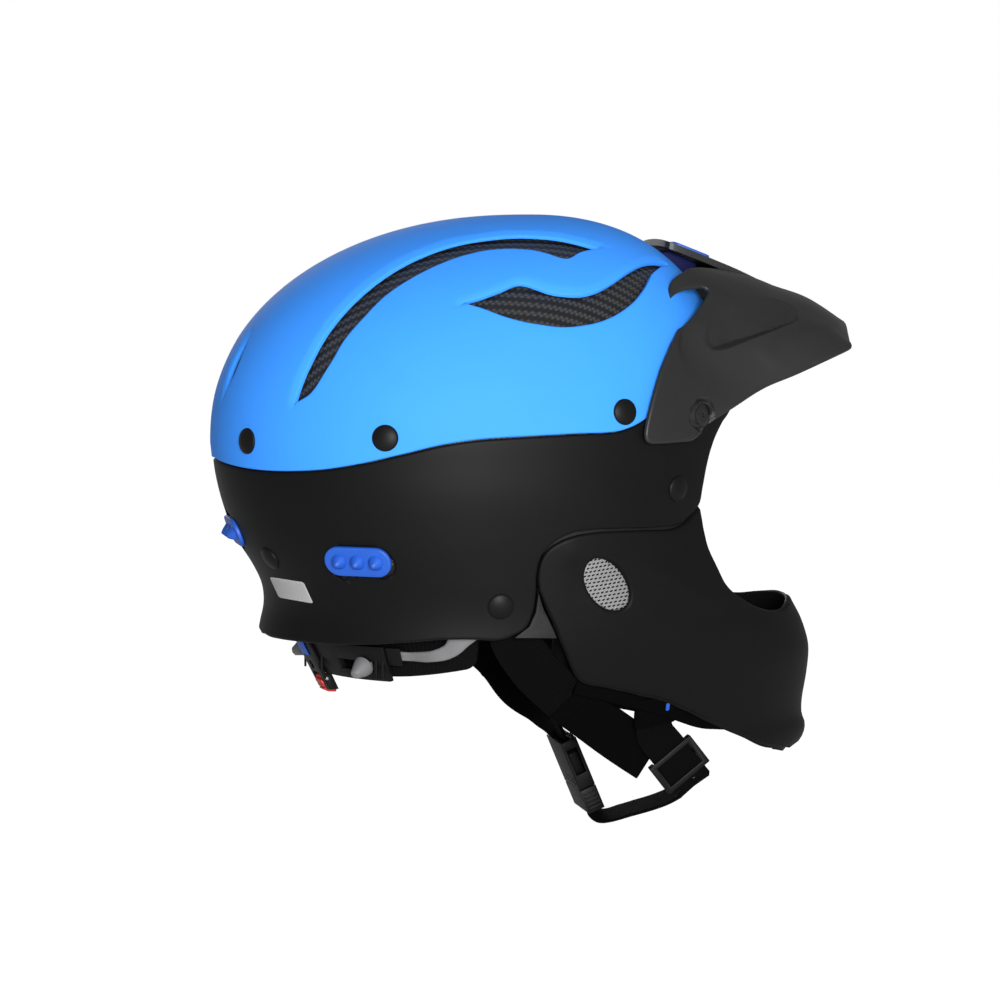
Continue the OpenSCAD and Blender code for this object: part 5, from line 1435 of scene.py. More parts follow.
def peak_relief(flat, base, away):
    out_from_middle = np.abs(flat[:, 0])
    forward = flat[:, 1] / np.interp(out_from_middle, STATIONS, LENGTHS)
    push = (BROW_HIGH * MM * smooth_share((forward - 0.52) / 0.27) * smooth_share((1.02 - forward) / 0.2)
            * smooth_share((BROW_WIDE - out_from_middle) / BROW_FADE))
    for turn in ([1, 1], [-1, 1]):
        high, low, crease = scoop_high * turn, scoop_low * turn, peak_crease * turn
        within = inside(flat, np.vstack([low, high[::-1]]))
        to_low = distances(base[within], [peak_form(low)]) / MM
        to_high = distances(base[within], [peak_form(high)]) / MM
        rear_end = np.linalg.norm(base[within] - peak_form(low[:1]), axis=1) / MM
        share = to_high / (to_low + to_high + 0.01)
        deep = SCOOP_DEEP * smooth_share(to_low / SCOOP_WALL) * share ** 0.8
        push[within] -= deep * np.clip(0.45 + rear_end / 26, 0, 1) * MM
        near = distances(base, [peak_form(crease)]) / MM
        start = np.linalg.norm(base - peak_form(crease[:1]), axis=1) / MM
        push += (CREASE_HIGH * np.clip(1 - near / CREASE_WIDE, 0, 1) ** 1.4
                 * smooth_share(start / CREASE_START) * MM)
        centre, out = screw_point * [turn[0], 1, 1], screw_out * [turn[0], 1, 1]
        off = base - centre
        high_up = off @ out
        r = np.linalg.norm(off - high_up[:, None] * out, axis=1) / MM
        groove = smooth_share(1 - np.abs(r - DISH_LOW / 2) / ((DISH_D - DISH_LOW) / 2))
        lip = np.clip(1 - np.abs(r - DISH_LIP / 2) / LIP_HALF, 0, 1)
        push += np.where(high_up > 0, -DISH_DEEP * groove + LIP_HIGH * lip, 0) * MM
    return push


screw_flat = screw_pattern()
screw_hole = local_on(peak_form, screw_flat, circle_shape(SCREW_HOLE, 48), 1)
rings = [local_on(peak_form, screw_flat, circle_shape(d, 56), 1)
         for d in (DISH_D, DISH_LOW, DISH_LIP, DISH_LIP + 1.2)]
rings = [np.vstack([q, q[:1]]) for q in rings]
drawn = [scoop_high, scoop_low[1:-1], peak_crease] + rings
drawn += [beside(scoop_low, d)[3:-6] for d in (-1.3, -2.6, -3.9)]
peak_sheet = panel("peak_sheet", peak_form, peak_outline(), [screw_hole, screw_hole[::-1] * [-1, 1]], 2.0,
                   0, PEAK_T, rounding(1.3 * MM), relief=peak_relief,
                   lines=drawn + [q * [-1, 1] for q in drawn], scale=1.0, through=0.6,
                   inner_drop=rounding(0.8 * MM))
print(peak_sheet.name, len(peak_sheet.data.polygons), "faces")

# %% The tongue on the crown
TONGUE_LINE = [[-92, 101.3], [-105, 96.6], [-118, 91.6], [-132, 86], [-146, 79.6]]
TONGUE_HALF, TONGUE_T, TONGUE_CROWN = 24, 2.2, 1.2
TONGUE_EDGE = [
    (0, 3), (12, 3), (20, 3.2), (22.7, 4), (23.9, 6), (23.6, 14), (22, 28), (20.2, 42), (18.6, 57),
    (0, 57.5)]


def tongue_form(flat, deep=0):
    line = np.array([[0, *q] for q in TONGUE_LINE], float)
    length = np.concatenate([[0], np.cumsum(np.linalg.norm(np.diff(line, axis=0), axis=1))])
    t = np.interp(flat[:, 1], length, np.arange(len(line)))
    p = along(line, np.clip(t, 0, len(line) - 1.001))
    s = flat[:, 0] / TONGUE_HALF
    return (p + np.stack([flat[:, 0], 0 * s, -TONGUE_CROWN * s**2 - deep], axis=1)) * MM


tongue_half = smooth_loop(TONGUE_EDGE, 1.2, closed=False, corners=(8,))
tongue_loop = np.vstack([tongue_half, (tongue_half * [-1, 1])[-2:0:-1]])
tongue = panel("tongue_plate", tongue_form, tongue_loop, [], 2.2, 0, TONGUE_T, rounding(0.7 * MM),
               scale=1.0, rows=(0.2, 0.5, 0.9), inner_drop=rounding(0.5 * MM))
FLOOR_PROFILE = [(2.8, 3.3), (5.6, 3.3), (5.6, 4.45), (2.8, 4.45)]
floors = set_on_places("screw_floors", lathe("floor_item", FLOOR_PROFILE, 48, ring=True),
                       screw_places, peak_black)
peak_piece = join("peak_moulded", [peak_sheet, tongue, floors])
dress(peak_piece, peak_black, "peak", "peak")

# %% Badge and screws of the peak
BADGE_Y, BADGE_Z = -112, 94.1
BADGE_LONG, BADGE_WIDE = 20.5, 12.5
slope = math.atan2(TONGUE_LINE[2][1] - TONGUE_LINE[1][1], TONGUE_LINE[2][0] - TONGUE_LINE[1][0])
badge_side = (0, -math.cos(slope + math.pi), -math.sin(slope + math.pi))
badge_place = ((0, BADGE_Y * MM, BADGE_Z * MM), tuple(np.cross([-1.0, 0, 0], badge_side)), badge_side)
badge = round_edges(slab("badge_plate", rounded_box(BADGE_LONG, BADGE_WIDE, 3.4), -0.5, 2.3, badge_place),
                    0.35 * MM)
dress(badge, blue_rubber, "peak", "peak_badge")
SCREW_PROFILE = [
    (2.5, -9.1), (2.5, 4.4), (4.75, 4.45), (4.92, 4.6), (4.88, 4.9), (4.6, 5.1), (3.2, 5.2),
    (1.35, 5.24), (1.1, 5.1), (0.95, 4.6), (0.0, 4.6)]
screws = set_on_places("peak_screws_turned", lathe("screw_item", SCREW_PROFILE, 48), screw_places,
                       screw_metal)
dress(screws, screw_metal, "helmet", "peak_screws")
print("screw of the peak at", np.round(screw_point, 4), "pattern", np.round(screw_flat, 1))

# %% [markdown]
# ## Straps
# Chin webbing is a flat woven tape. Each strap follows the route that the skeleton's source gives
# it: places, with the direction across the tape at each. A rounded section is swept along a
# smooth curve through them, and the weave follows the tape in its own pattern of millimetres, so
# it bends and twists with it.

# %% Sweep of a tape
def unit(v):
    return v / np.maximum(np.linalg.norm(v, axis=-1, keepdims=True), 1e-12)


def tape_line(route, start, stop, step):
    """Places along a route in even steps, with the directions across and up, all in metres."""
    where = np.array([q[0] for q in route], float) * MM
    across = np.array([q[1] for q in route], float)
    dense = np.linspace(start, stop, 400)
    run = np.concatenate([[0], np.cumsum(np.linalg.norm(np.diff(along(where, dense), axis=0), axis=1))])
    count = max(2, int(round(run[-1] / (step * MM)))) + 1
    t = np.interp(np.linspace(0, run[-1], count), run, dense)
    line, side = along(where, t), along(across, t)
    ahead = unit(np.gradient(line, axis=0))
    side = unit(side - ahead * (side * ahead).sum(axis=1, keepdims=True))
    return line, side, np.cross(side, ahead), np.linspace(0, run[-1], count) / MM, t


def tape_section(wide, thick, columns=14):
    """Outline of a tape's section in millimetres, with its selvedges a little thicker."""
    x = np.linspace(-wide / 2 + thick / 2, wide / 2 - thick / 2, columns)
    swell = 1 + 0.1 * np.clip(1 - (wide / 2 - np.abs(x)) / 2.4, 0, 1)
    top = np.stack([x, thick / 2 * swell], axis=1)
    turn = np.radians(np.linspace(67.5, -67.5, 4))
    right = np.stack([wide / 2 - thick / 2 + np.cos(turn) * thick / 2, np.sin(turn) * thick / 2], axis=1)
    low = np.stack([x[::-1], -thick / 2 * swell], axis=1)
    return np.vstack([top, right, low, -right])


def tape(name, route, wide, thick, start=0.0, stop=None, step=1.6, section=tape_section, width_of=None,
         lift=0.0):
    """A tape swept along a route, from one place of the route to another."""
    line, side, up, run, t = tape_line(route, start, len(route) - 1.0 if stop is None else stop, step)
    ring = section(wide, thick)
    scale = np.ones(len(t)) if width_of is None else width_of(t) / wide
    pts = (line[:, None] + side[:, None] * (ring[None, :, :1] * scale[:, None, None] * MM)
           + up[:, None] * ((ring[None, :, 1:] + lift) * MM))
    n, m = len(line), len(ring)
    faces = [tuple(f[::-1]) for f in grid_faces(n, m, closed=True)]
    faces += [tuple(range(m)), tuple(range((n - 1) * m, n * m))[::-1]]
    uv = np.stack([np.tile(ring[:, 0], n), np.repeat(run, m)], axis=1)
    piece = new_mesh(name, pts.reshape(-1, 3), faces, uv, crisp=math.radians(60))
    outward_faces(piece)
    return piece


def outward_faces(piece):
    """Turns the faces of a closed piece outward."""
    shape = bmesh.new()
    shape.from_mesh(piece.data)
    bmesh.ops.recalc_face_normals(shape, faces=shape.faces)
    shape.to_mesh(piece.data)
    shape.free()


# %% Routes of the straps
WEB_W, FRONT_WEB_W, WEB_T = 24, 20, 1.6
SHELL_STRAP_DEEP, GUARD_STRAP_DEEP = 7.5, 5.0
BUCKLE_AT, BUCKLE_TILT = np.array([25, -62.2, -182]), math.radians(-22.6)
BUCKLE_RUN = np.array([0, -math.sin(BUCKLE_TILT), math.cos(BUCKLE_TILT)])
SLIDER_AT, SLIDER_TILT = np.array([-62, -90.2, -158.5]), math.radians(38)
WEB_RUN = np.array([0, math.sin(SLIDER_TILT), math.cos(SLIDER_TILT)])
WEB_SIDE = np.array([0, math.cos(SLIDER_TILT), -math.sin(SLIDER_TILT)])
SOCKET_L = 27


def left_side(route):
    return [(np.array(p) * [-1, 1, 1], np.array(v) * [-1, 1, 1]) for p, v in route]


def in_shell(h, p, deep=SHELL_STRAP_DEEP):
    return shell(h, p, deep) / MM


def in_guard(a, z):
    return guard(a, z, GUARD_STRAP_DEEP) / MM


def in_line(z):
    return BUCKLE_AT + z * BUCKLE_RUN


REAR_START = [(in_shell(90, 122.5), [0, 1, 0]), (in_shell(90, 128), [0, 1, 0]),
              ([-86.5, -0.5, -89], [0.05, 1, -0.05]), ([-83, -9.5, -103], [0.1, 0.85, -0.5]),
              ([-79.5, -20, -114], [0.25, 0.65, -0.7])]
REAR_RIGHT = REAR_START + [([-75.5, -32, -124], [0.3, 0.55, -0.78]), ([-69, -48, -136], [0.25, 0.53, -0.8]),
                           ([-62, -62, -146], [0.1, 0.53, -0.84]), ([-57.5, -76, -155.5], [0, 0.52, -0.85])]
REAR_LEFT = left_side(REAR_START) + [([75.3, -31, -125.3], [-0.33, 0.57, -0.75]),
                                     ([66.5, -39, -136.4], [-0.1, 0.6, -0.79]),
                                     ([52, -45.5, -141.6], [0.42, 0.38, -0.82]),
                                     ([38, -47.5, -145], [0.75, 0.15, -0.6]),
                                     ([27, -49, -150.2], [1, 0, -0.04]),
                                     (in_line(SOCKET_L + 3), [1, 0, 0]), (in_line(SOCKET_L - 2.2), [1, 0, 0])]
FRONT_START = [(in_guard(24, -95), [-0.26, 0.96, 0]), (in_guard(24, -104), [-0.26, 0.96, 0]),
               ([-72.5, -76, -114], [-0.22, 0.97, 0]), ([-69.5, -76.3, -124], [-0.12, 0.97, -0.15])]
FRONT_RIGHT = FRONT_START + [([-65.5, -76.6, -134], [-0.05, 0.92, -0.35]),
                             (SLIDER_AT + 20 * WEB_RUN, WEB_SIDE), (SLIDER_AT + 10 * WEB_RUN, WEB_SIDE),
                             (SLIDER_AT - 10 * WEB_RUN, WEB_SIDE)]
FRONT_LEFT = left_side(FRONT_START) + [([65.5, -75.5, -134], [0.2, 0.95, -0.1]),
                                       ([60, -70.5, -141], [0.4, 0.88, 0]),
                                       ([53.5, -62.5, -144.5], [0.5, 0.8, -0.3]),
                                       ([46, -54.5, -145.3], [0.5, 0.45, -0.7]),
                                       ([39, -51, -146], [0.36, 0.12, -0.92]),
                                       ([33.5, -51, -147.6], [0.5, 0.05, -0.85])]
CHIN = [(in_line(-7.2), [-1, 0, 0]), (in_line(-13.2), [-1, 0, 0]), ([22.8, -70.6, -196.8], [-0.95, 0.25, 0]),
        ([15, -75.5, -197], [-0.65, 0.72, -0.3]), ([2, -79.5, -193.5], [-0.25, 0.85, -0.5]),
        ([-14, -84.5, -188], [-0.05, 0.84, -0.54]), ([-32, -89.5, -181.5], [0, 0.8, -0.6]),
        ([-48, -94, -175.5], [0, 0.79, -0.61]), ([-57.6, -97.5, -170.8], [0, 0.79, -0.61]),
        (SLIDER_AT - 13 * WEB_RUN, WEB_SIDE), (SLIDER_AT - 10.6 * WEB_RUN, WEB_SIDE)]

# %% [markdown]
# ## Seams of the straps
# The right rear strap ends in a smooth woven sleeve, with a hem at its start. A hem is the same
# tape, a little thicker and short: at this size its stitches show as one ridge across the tape.

# %% Straps
def strap(name, route, wide, node_name, parts, body="helmet"):
    """A strap from its parts: (start, stop, added thickness, added width, finish)."""
    pieces = []
    for k, (start, stop, thicker, wider, cover) in enumerate(parts):
        q = tape(f"{name}_{k}", route, wide + wider, WEB_T + thicker, start, stop)
        q.data.materials.append(cover)
        pieces.append(q)
    whole = join(name, pieces)
    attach(whole, body)
    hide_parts(node_name)
    return whole


strap("rear_strap_right_tape", REAR_RIGHT, WEB_W, "rear_strap_right",
      [(0, 4.95, 0, 0, webbing), (4.78, 4.94, 1.0, 0.5, smooth_web), (5.25, 5.36, 1.1, 0.5, smooth_web),
       (4.9, 8.0, 0.7, 0.3, smooth_web)])
strap("rear_strap_left_tape", REAR_LEFT, WEB_W, "rear_strap_left",
      [(0, 11.0, 0, 0, webbing), (4.8, 4.95, 0.8, 0.4, smooth_web)])
strap("front_strap_right_tape", FRONT_RIGHT, FRONT_WEB_W, "front_strap_right", [(0, 7.0, 0, 0, webbing)])
strap("front_strap_left_tape", FRONT_LEFT, FRONT_WEB_W, "front_strap_left", [(0, 9.0, 0, 0, webbing)])
chin = tape("chin_strap_tape", CHIN, FRONT_WEB_W, WEB_T)
dress(chin, webbing, None, "chin_strap")
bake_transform(chin)
print("chin strap runs", np.round(tape_line(CHIN, 0, 10, 2)[3][-1]), "mm")

# %% [markdown]
# ## The keeper of the front strap
# A woven loop holds the front strap's fold together. It is the tape's section again, thicker and
# with rolled edges, and a small bare blue bar stands on its outer face.

# %% Keeper
keeper_parts = [tape("keeper_band", FRONT_RIGHT, FRONT_WEB_W + 2.6, WEB_T + 2.8, 2.9, 4.3, 1.2)]
for k, (a, b) in enumerate(((2.87, 3.05), (4.15, 4.33))):
    keeper_parts.append(tape(f"keeper_roll_{k}", FRONT_RIGHT, FRONT_WEB_W + 3.4, WEB_T + 3.8, a, b, 0.5))
keeper = join("strap_keeper", [round_edges(q, 0.5 * MM, 2) for q in keeper_parts])
dress(keeper, smooth_web, "helmet")
line, side, up = tape_line(FRONT_RIGHT, 3.0, 4.2, 2.0)[:3]
middle = len(line) // 3
bar_out = up[middle] if up[middle][0] < 0 else -up[middle]
bar_side = side[middle] if side[middle][1] < 0 else -side[middle]
bar = round_edges(slab("keeper_bar", rounded_box(1.9, 4.2, 0.8), 0, WEB_T / 2 + 1.9,
                       (line[middle] + bar_side * 5.5 * MM, bar_out, side[middle])), 0.25 * MM)
dress(bar, blue_rubber, "helmet")

# %% [markdown]
# ## The cradle's arms and hanger
# The arms are flat nylon strips that widen toward the rivet. Their widths are given place by
# place, as in the skeleton.

# %% Arms and hanger
CRADLE_R, CRADLE_T, CRADLE_SPAN = 80, 4, 43
CRADLE_TURN, CRADLE_Y, CRADLE_TOP, CRADLE_SLANT = math.radians(10), 12, -95, 0.5
ARM_W, ARM_T, ARM_DROP, ARM_DEEP = 5, 1.6, 4.6, 3.6
ARM_END = (99.5, 127)
HANGER_W, HANGER_T, HANGER_END, LINER_IN = 14, 1.5, (178, 111), 22.5


def cradle_place(a, drop, deep=0):
    """Place on the cradle, in millimetres, by the angle from the rear to the wearer's right."""
    r = CRADLE_R - deep - CRADLE_SLANT * drop
    x, y = -r * math.sin(math.radians(a)), CRADLE_Y + r * math.cos(math.radians(a))
    c, s = math.cos(CRADLE_TURN), math.sin(CRADLE_TURN)
    return np.array([x * c - y * s, x * s + y * c, CRADLE_TOP - drop])


def arm_route(side):
    def hold(a):
        up_here = unit(cradle_place(a, 0) - cradle_place(a, 10))
        return (cradle_place(a, ARM_DROP, ARM_DEEP), up_here)

    def in_liner(p):
        q = in_shell(ARM_END[0], p, CARBON_IN + 1.3 + ARM_T / 2)
        return q if side > 0 else q * [-1, 1, 1]

    return [hold(side * (CRADLE_SPAN + 1.5)), hold(side * (CRADLE_SPAN + 6)), hold(side * (CRADLE_SPAN + 10)),
            ([-side * 77, 38 if side > 0 else 41, -98.5], [0, 0.1, 1]),
            ([-side * 82, 30.5, -95.5], [0, 0.4, 1]), ([-side * 86, 25.5, -89], [0, 0.9, 0.4]),
            (in_liner(ARM_END[1] + 4), [0, 1, 0]), (in_liner(ARM_END[1] - 3), [0, 1, 0])]


ARM_WIDTHS = np.array([1, 1, 1, 1.1, 1.5, 2.2, 2.4, 2.2]) * ARM_W
for label, side in (("right", 1), ("left", -1)):
    arm = tape(f"cradle_arm_{label}_strip", arm_route(side), ARM_W, ARM_T,
               width_of=lambda t: np.interp(t, np.arange(8), ARM_WIDTHS))
    dress(arm, grey_plastic, None, f"cradle_arm_{label}")
    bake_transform(arm)
hanger_deep = LINER_IN + 1 + HANGER_T / 2
HANGER = [(in_shell(HANGER_END[0], HANGER_END[1] - 3, hanger_deep), [1, 0, 0]),
          (in_shell(HANGER_END[0], HANGER_END[1] + 4, hanger_deep), [1, 0.05, 0]),
          (in_shell(HANGER_END[0] + 1, HANGER_END[1] + 11, hanger_deep + 1), [1, 0.1, 0]),
          (cradle_place(0, -12, CRADLE_T + 1.4), [1, 0.16, 0]),
          (cradle_place(0, 0, CRADLE_T + 1.4), [1, 0.18, 0]),
          (cradle_place(0, 10, CRADLE_T + 1.4), [1, 0.18, 0])]
hanger = tape("cradle_hanger_strip", HANGER, HANGER_W, HANGER_T)
dress(hanger, webbing, None, "cradle_hanger")
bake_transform(hanger)

# %% [markdown]
# ## Small hardware
# The skeleton's small parts have the right form but knife edges. A moulded part has a small
# radius on each edge, which is what catches the light. So each one is copied, its loose triangles
# are merged into clean faces, and a bevel rounds what is crisp. Grips and rings are then added.

# %% Rounded copies of the skeleton's parts
def rounded_part(node_name, radius, steps=2, merge=2.0, angle=32):
    """A copy of a skeleton part with its crisp edges rounded by a radius in millimetres."""
    mesh = bpy.data.objects[node_name].data.copy()
    piece = new_object(node_name + "_moulded", mesh)
    mesh.name = piece.name
    mesh.materials.clear()
    shape = bmesh.new()
    shape.from_mesh(mesh)
    bmesh.ops.remove_doubles(shape, verts=shape.verts, dist=2e-6)
    bmesh.ops.dissolve_limit(shape, angle_limit=math.radians(merge), verts=shape.verts, edges=shape.edges)
    bmesh.ops.recalc_face_normals(shape, faces=shape.faces)
    shape.to_mesh(mesh)
    shape.free()
    return round_edges(piece, radius * MM, steps, angle)


def part(node_name, material, body, radius, extras=(), **how):
    piece = rounded_part(node_name, radius, **how)
    if extras:
        piece = join(piece.name, [piece, *extras])
    return dress(piece, material, body, node_name)


def in_cradle(a, drop, deep=0):
    return cradle_place(a, drop, deep) * MM


def cradle_frame(a, drop, deep=0):
    """Place on the cradle's face: point, outward direction, direction to the wearer's left."""
    point = in_cradle(a, drop, deep)
    out = unit(in_cradle(a, drop, deep - 1) - point)
    side = unit(in_cradle(a - 1, drop, deep) - point)
    return point, out, side


# %% Cradle
def ridge(name, a, from_drop, to_drop, wide, high, deep=0.0):
    """A rounded upright ridge on the cradle's face."""
    point, out, side = cradle_frame(a, (from_drop + to_drop) / 2, deep)
    return round_edges(slab(name, rounded_box(wide, to_drop - from_drop, wide * 0.3), -0.6, high,
                            (point, out, side)), 0.4 * MM)


HOUSING_RIDGES = [-41.4, 41.4, -38.6, 38.6]
extras = [ridge(f"ridge_{k}", a, 1.5, 16.5, 1.7, 0.9) for k, a in enumerate(HOUSING_RIDGES)]
extras += [ridge(f"rim_{k}", a, 0.9, 17.1, 1.2, 0.5) for k, a in enumerate((-9.4, 9.4))]
part("cradle_housing", black_plastic, "cradle", 0.55, extras)
part("cradle_spine", black_plastic, "cradle", 0.45)
part("spine_inlay", blue_rubber, "cradle", 0.35)
part("arm_keepers", black_plastic, "cradle", 0.4)
for side in ("right", "left"):
    part(f"rack_fin_{side}", grey_plastic, f"fin_{side}", 0.45, steps=3)
grips = []
for k, drop in enumerate((23.2, 24.8, 26.6)):
    point, out, side = cradle_frame(0, drop, -2.9)
    grips.append(round_edges(slab(f"lever_grip_{k}", rounded_box(7.4, 0.8, 0.35), -1.2, 0.55,
                                  (point, out, side)), 0.25 * MM, 2))
part("release_lever", red_plastic, "lever", 0.5, grips, steps=3)
part("lever_pin", steel, "cradle", 0.2)

# %% [markdown]
# ## The nape pad
# The pad behind the neck is a soft moulded strip with fine upright ribs. It is a ring-shaped
# sweep: its section is crowned, and its inner face waves from rib to rib.

# %% Nape pad
NAPE_SPAN, NAPE_H, NAPE_T, NAPE_DEEP, NAPE_RIB = 78, 22, 4, 6.4, 2.2
NAPE_RISE, NAPE_TOP = 5.5, -5.5


def nape_section(count=26):
    """Places round the pad's section: (drop, depth, share of the ribs)."""
    out = []
    for k in range(count):
        t = 2 * math.pi * k / count
        c, s = math.cos(t), math.sin(t)
        drop = NAPE_H / 2 * (1 - math.copysign(abs(c) ** 0.35, c))
        deep = NAPE_T / 2 * (1 + math.copysign(abs(s) ** 0.6, s))
        out.append((drop, NAPE_DEEP + deep, 1.0 if abs(c) < 0.93 else 0.3))
    return out


section = nape_section()
NAPE_STEPS = 700
rows_of_points = []
for k in range(NAPE_STEPS + 1):
    a = NAPE_SPAN * (2 * k / NAPE_STEPS - 1)
    close = min(1.0, (NAPE_SPAN - abs(a)) / 4.5)
    swell = math.sqrt(max(0.0, 1 - (1 - close) ** 2)) if close < 1 else 1.0
    wave = 0.5 + 0.5 * math.cos(math.radians(a) * (CRADLE_R - NAPE_DEEP) * 2 * math.pi / NAPE_RIB)
    rib_deep = 0.42 * (1 - abs(wave) ** 0.7)
    rise = NAPE_RISE * (max(0.0, abs(a) - 40) / (NAPE_SPAN - 40)) ** 1.5
    for drop, deep, share in section:
        middle = NAPE_DEEP + NAPE_T / 2
        pull = deep - math.copysign(rib_deep * share, deep - middle)
        down = NAPE_TOP + NAPE_H / 2 - rise + (drop - NAPE_H / 2) * (0.6 + 0.4 * swell)
        rows_of_points.append(in_cradle(a, down, middle + (pull - middle) * max(swell, 0.12)))
m = len(section)
faces = grid_faces(NAPE_STEPS + 1, m, closed=True)
faces += [tuple(range(m)), tuple(range(NAPE_STEPS * m, (NAPE_STEPS + 1) * m))]
nape = new_mesh("nape_pad_ribbed", rows_of_points, faces, crisp=math.radians(75))
outward_faces(nape)
dress(nape, pad_cover, "cradle", "nape_pad")
print(nape.name, len(nape.data.polygons), "faces")

# %% [markdown]
# ## Buckle, slider and anchors
# A side-release buckle is a socket with two windows and a plug with two springy prongs. The
# socket carries a round boss, and the plug has grip ridges on its shoulders.

# %% Buckle
def buckle_place(x, y, z):
    """A place in the buckle's own directions: across, through its thickness, along it."""
    through = np.array([0, math.cos(BUCKLE_TILT), math.sin(BUCKLE_TILT)])
    return (BUCKLE_AT + np.array([x, 0, 0]) + through * y + BUCKLE_RUN * z) * MM, through


BUCKLE_W, BUCKLE_T = 31, 9
ACROSS = np.array([1.0, 0, 0])
extras = []
point, through = buckle_place(0, -BUCKLE_T / 2 - 0.9, SOCKET_L - 5)
BOSS_PROFILE = [(2.2, 0.0), (2.5, 0.5), (3.2, 0.6), (3.7, 0.2), (3.7, -0.4), (2.2, -0.4)]
extras.append(set_on_places("boss_ring", lathe("boss_item", BOSS_PROFILE, 40, ring=True),
                            [(point, -through, ACROSS)], black_plastic))
for k, z in enumerate((3.2, 5.4)):
    for y in (-1, 1):
        point, through = buckle_place(0, y * BUCKLE_T / 2, z)
        extras.append(round_edges(slab(f"socket_line_{k}_{y}", rounded_box(24 - 3 * k, 0.9, 0.4), -0.4, 0.35,
                                       (point, through * y, ACROSS)), 0.2 * MM, 2))
part("buckle_socket", black_plastic, "helmet", 0.7, extras, steps=3)
extras = []
for k in range(5):
    for x in (-1, 1):
        point, through = buckle_place(x * BUCKLE_W / 2, 0, -2.6 - 2.1 * k)
        extras.append(round_edges(slab(f"plug_grip_{k}_{x}", rounded_box(BUCKLE_T - 1.6, 1.0, 0.4), -0.5, 0.5,
                                       (point, ACROSS * x, through)), 0.25 * MM, 2))
part("buckle_plug", black_plastic, "plug", 0.7, extras, steps=3)
for prong in ("prong_a", "prong_b"):
    part(f"buckle_{prong}", black_plastic, prong, 0.4)
part("strap_slider", black_plastic, "slider", 0.75, steps=3)
FIXED = [("rear_anchors", black_plastic, 0.4), ("front_anchors", black_plastic, 0.4),
         ("arm_rivets", steel, 0.3), ("hanger_rivets", steel, 0.3),
         ("peak_spacers", black_rubber, 0.25), ("peak_nuts", steel, 0.25)]
for node_name, material, radius in FIXED:
    part(node_name, material, "helmet", radius)
for side in ("right", "left"):
    part(f"filler_wedge_{side}", black_rubber, "helmet", 0.8, merge=0.5)

# %% [markdown]
# ## Foam and pads
# Under the carbon lies moulded foam, with comfort pads on it. The foam keeps its moulded form,
# softened at its edges. A pad is a sewn cover filled with soft foam: its mesh is drawn in a
# little, remade in small even faces, and blown up by a cloth simulation, so that it crowns
# between its edges. Its sewn channels and its piping are added after that.

# %% Foam
for node_name, radius in (("liner_crown", 1.6), ("liner_band", 1.6), ("liner_brow", 1.2), ("chin_foam", 1.6)):
    part(node_name, foam_black, "helmet", radius, merge=0.5, angle=50)

# %% Pads filled by simulation
VOXEL = 0.0042
DRAWN_IN = 1.6
FILL_FRAMES = 20


def surface_of(node_name):
    """The skeleton's solid as a tree that answers which place of its surface is nearest."""
    shape = bmesh.new()
    shape.from_mesh(bpy.data.objects[node_name].data)
    bmesh.ops.remove_doubles(shape, verts=shape.verts, dist=2e-6)
    bmesh.ops.recalc_face_normals(shape, faces=shape.faces)
    tree = BVHTree.FromBMesh(shape)
    shape.free()
    return tree


def depth_in(tree, co):
    """How deep each point lies inside a solid, in metres, and the direction out of it."""
    deep, out = np.empty(len(co)), np.empty((len(co), 3))
    for i, p in enumerate(co):
        near, out[i], _, gap = tree.find_nearest(p)
        deep[i] = gap if (p - np.array(near)) @ out[i] < 0 else -gap
    return deep, out


def fill_with_foam(piece, pressure, most):
    """Blows a pad up as cloth, and caps how far a point may move."""
    start = coordinates(piece.data)
    cloth = piece.modifiers.new("fill", "CLOTH")
    cloth.settings.quality = 4
    cloth.settings.mass = 0.4
    cloth.settings.tension_stiffness = 12
    cloth.settings.compression_stiffness = 12
    cloth.settings.bending_stiffness = 1.5
    cloth.settings.use_pressure = True
    cloth.settings.uniform_pressure_force = pressure
    cloth.settings.effector_weights.gravity = 0
    cloth.point_cache.frame_start, cloth.point_cache.frame_end = 1, FILL_FRAMES
    for number in range(1, FILL_FRAMES + 1):
        bpy.context.scene.frame_set(number)
    blown = bpy.data.meshes.new_from_object(piece.evaluated_get(bpy.context.evaluated_depsgraph_get()))
    moved = coordinates(blown) - start
    size = np.linalg.norm(moved, axis=1, keepdims=True)
    piece.modifiers.clear()
    set_coordinates(piece.data, start + moved * np.minimum(1, most * MM / np.maximum(size, 1e-9)))
    bpy.context.scene.frame_set(1)
    bpy.data.meshes.remove(blown)


def subdivided(piece, levels=1):
    more = piece.modifiers.new("finer", "SUBSURF")
    more.levels = more.render_levels = levels
    return bake(piece)


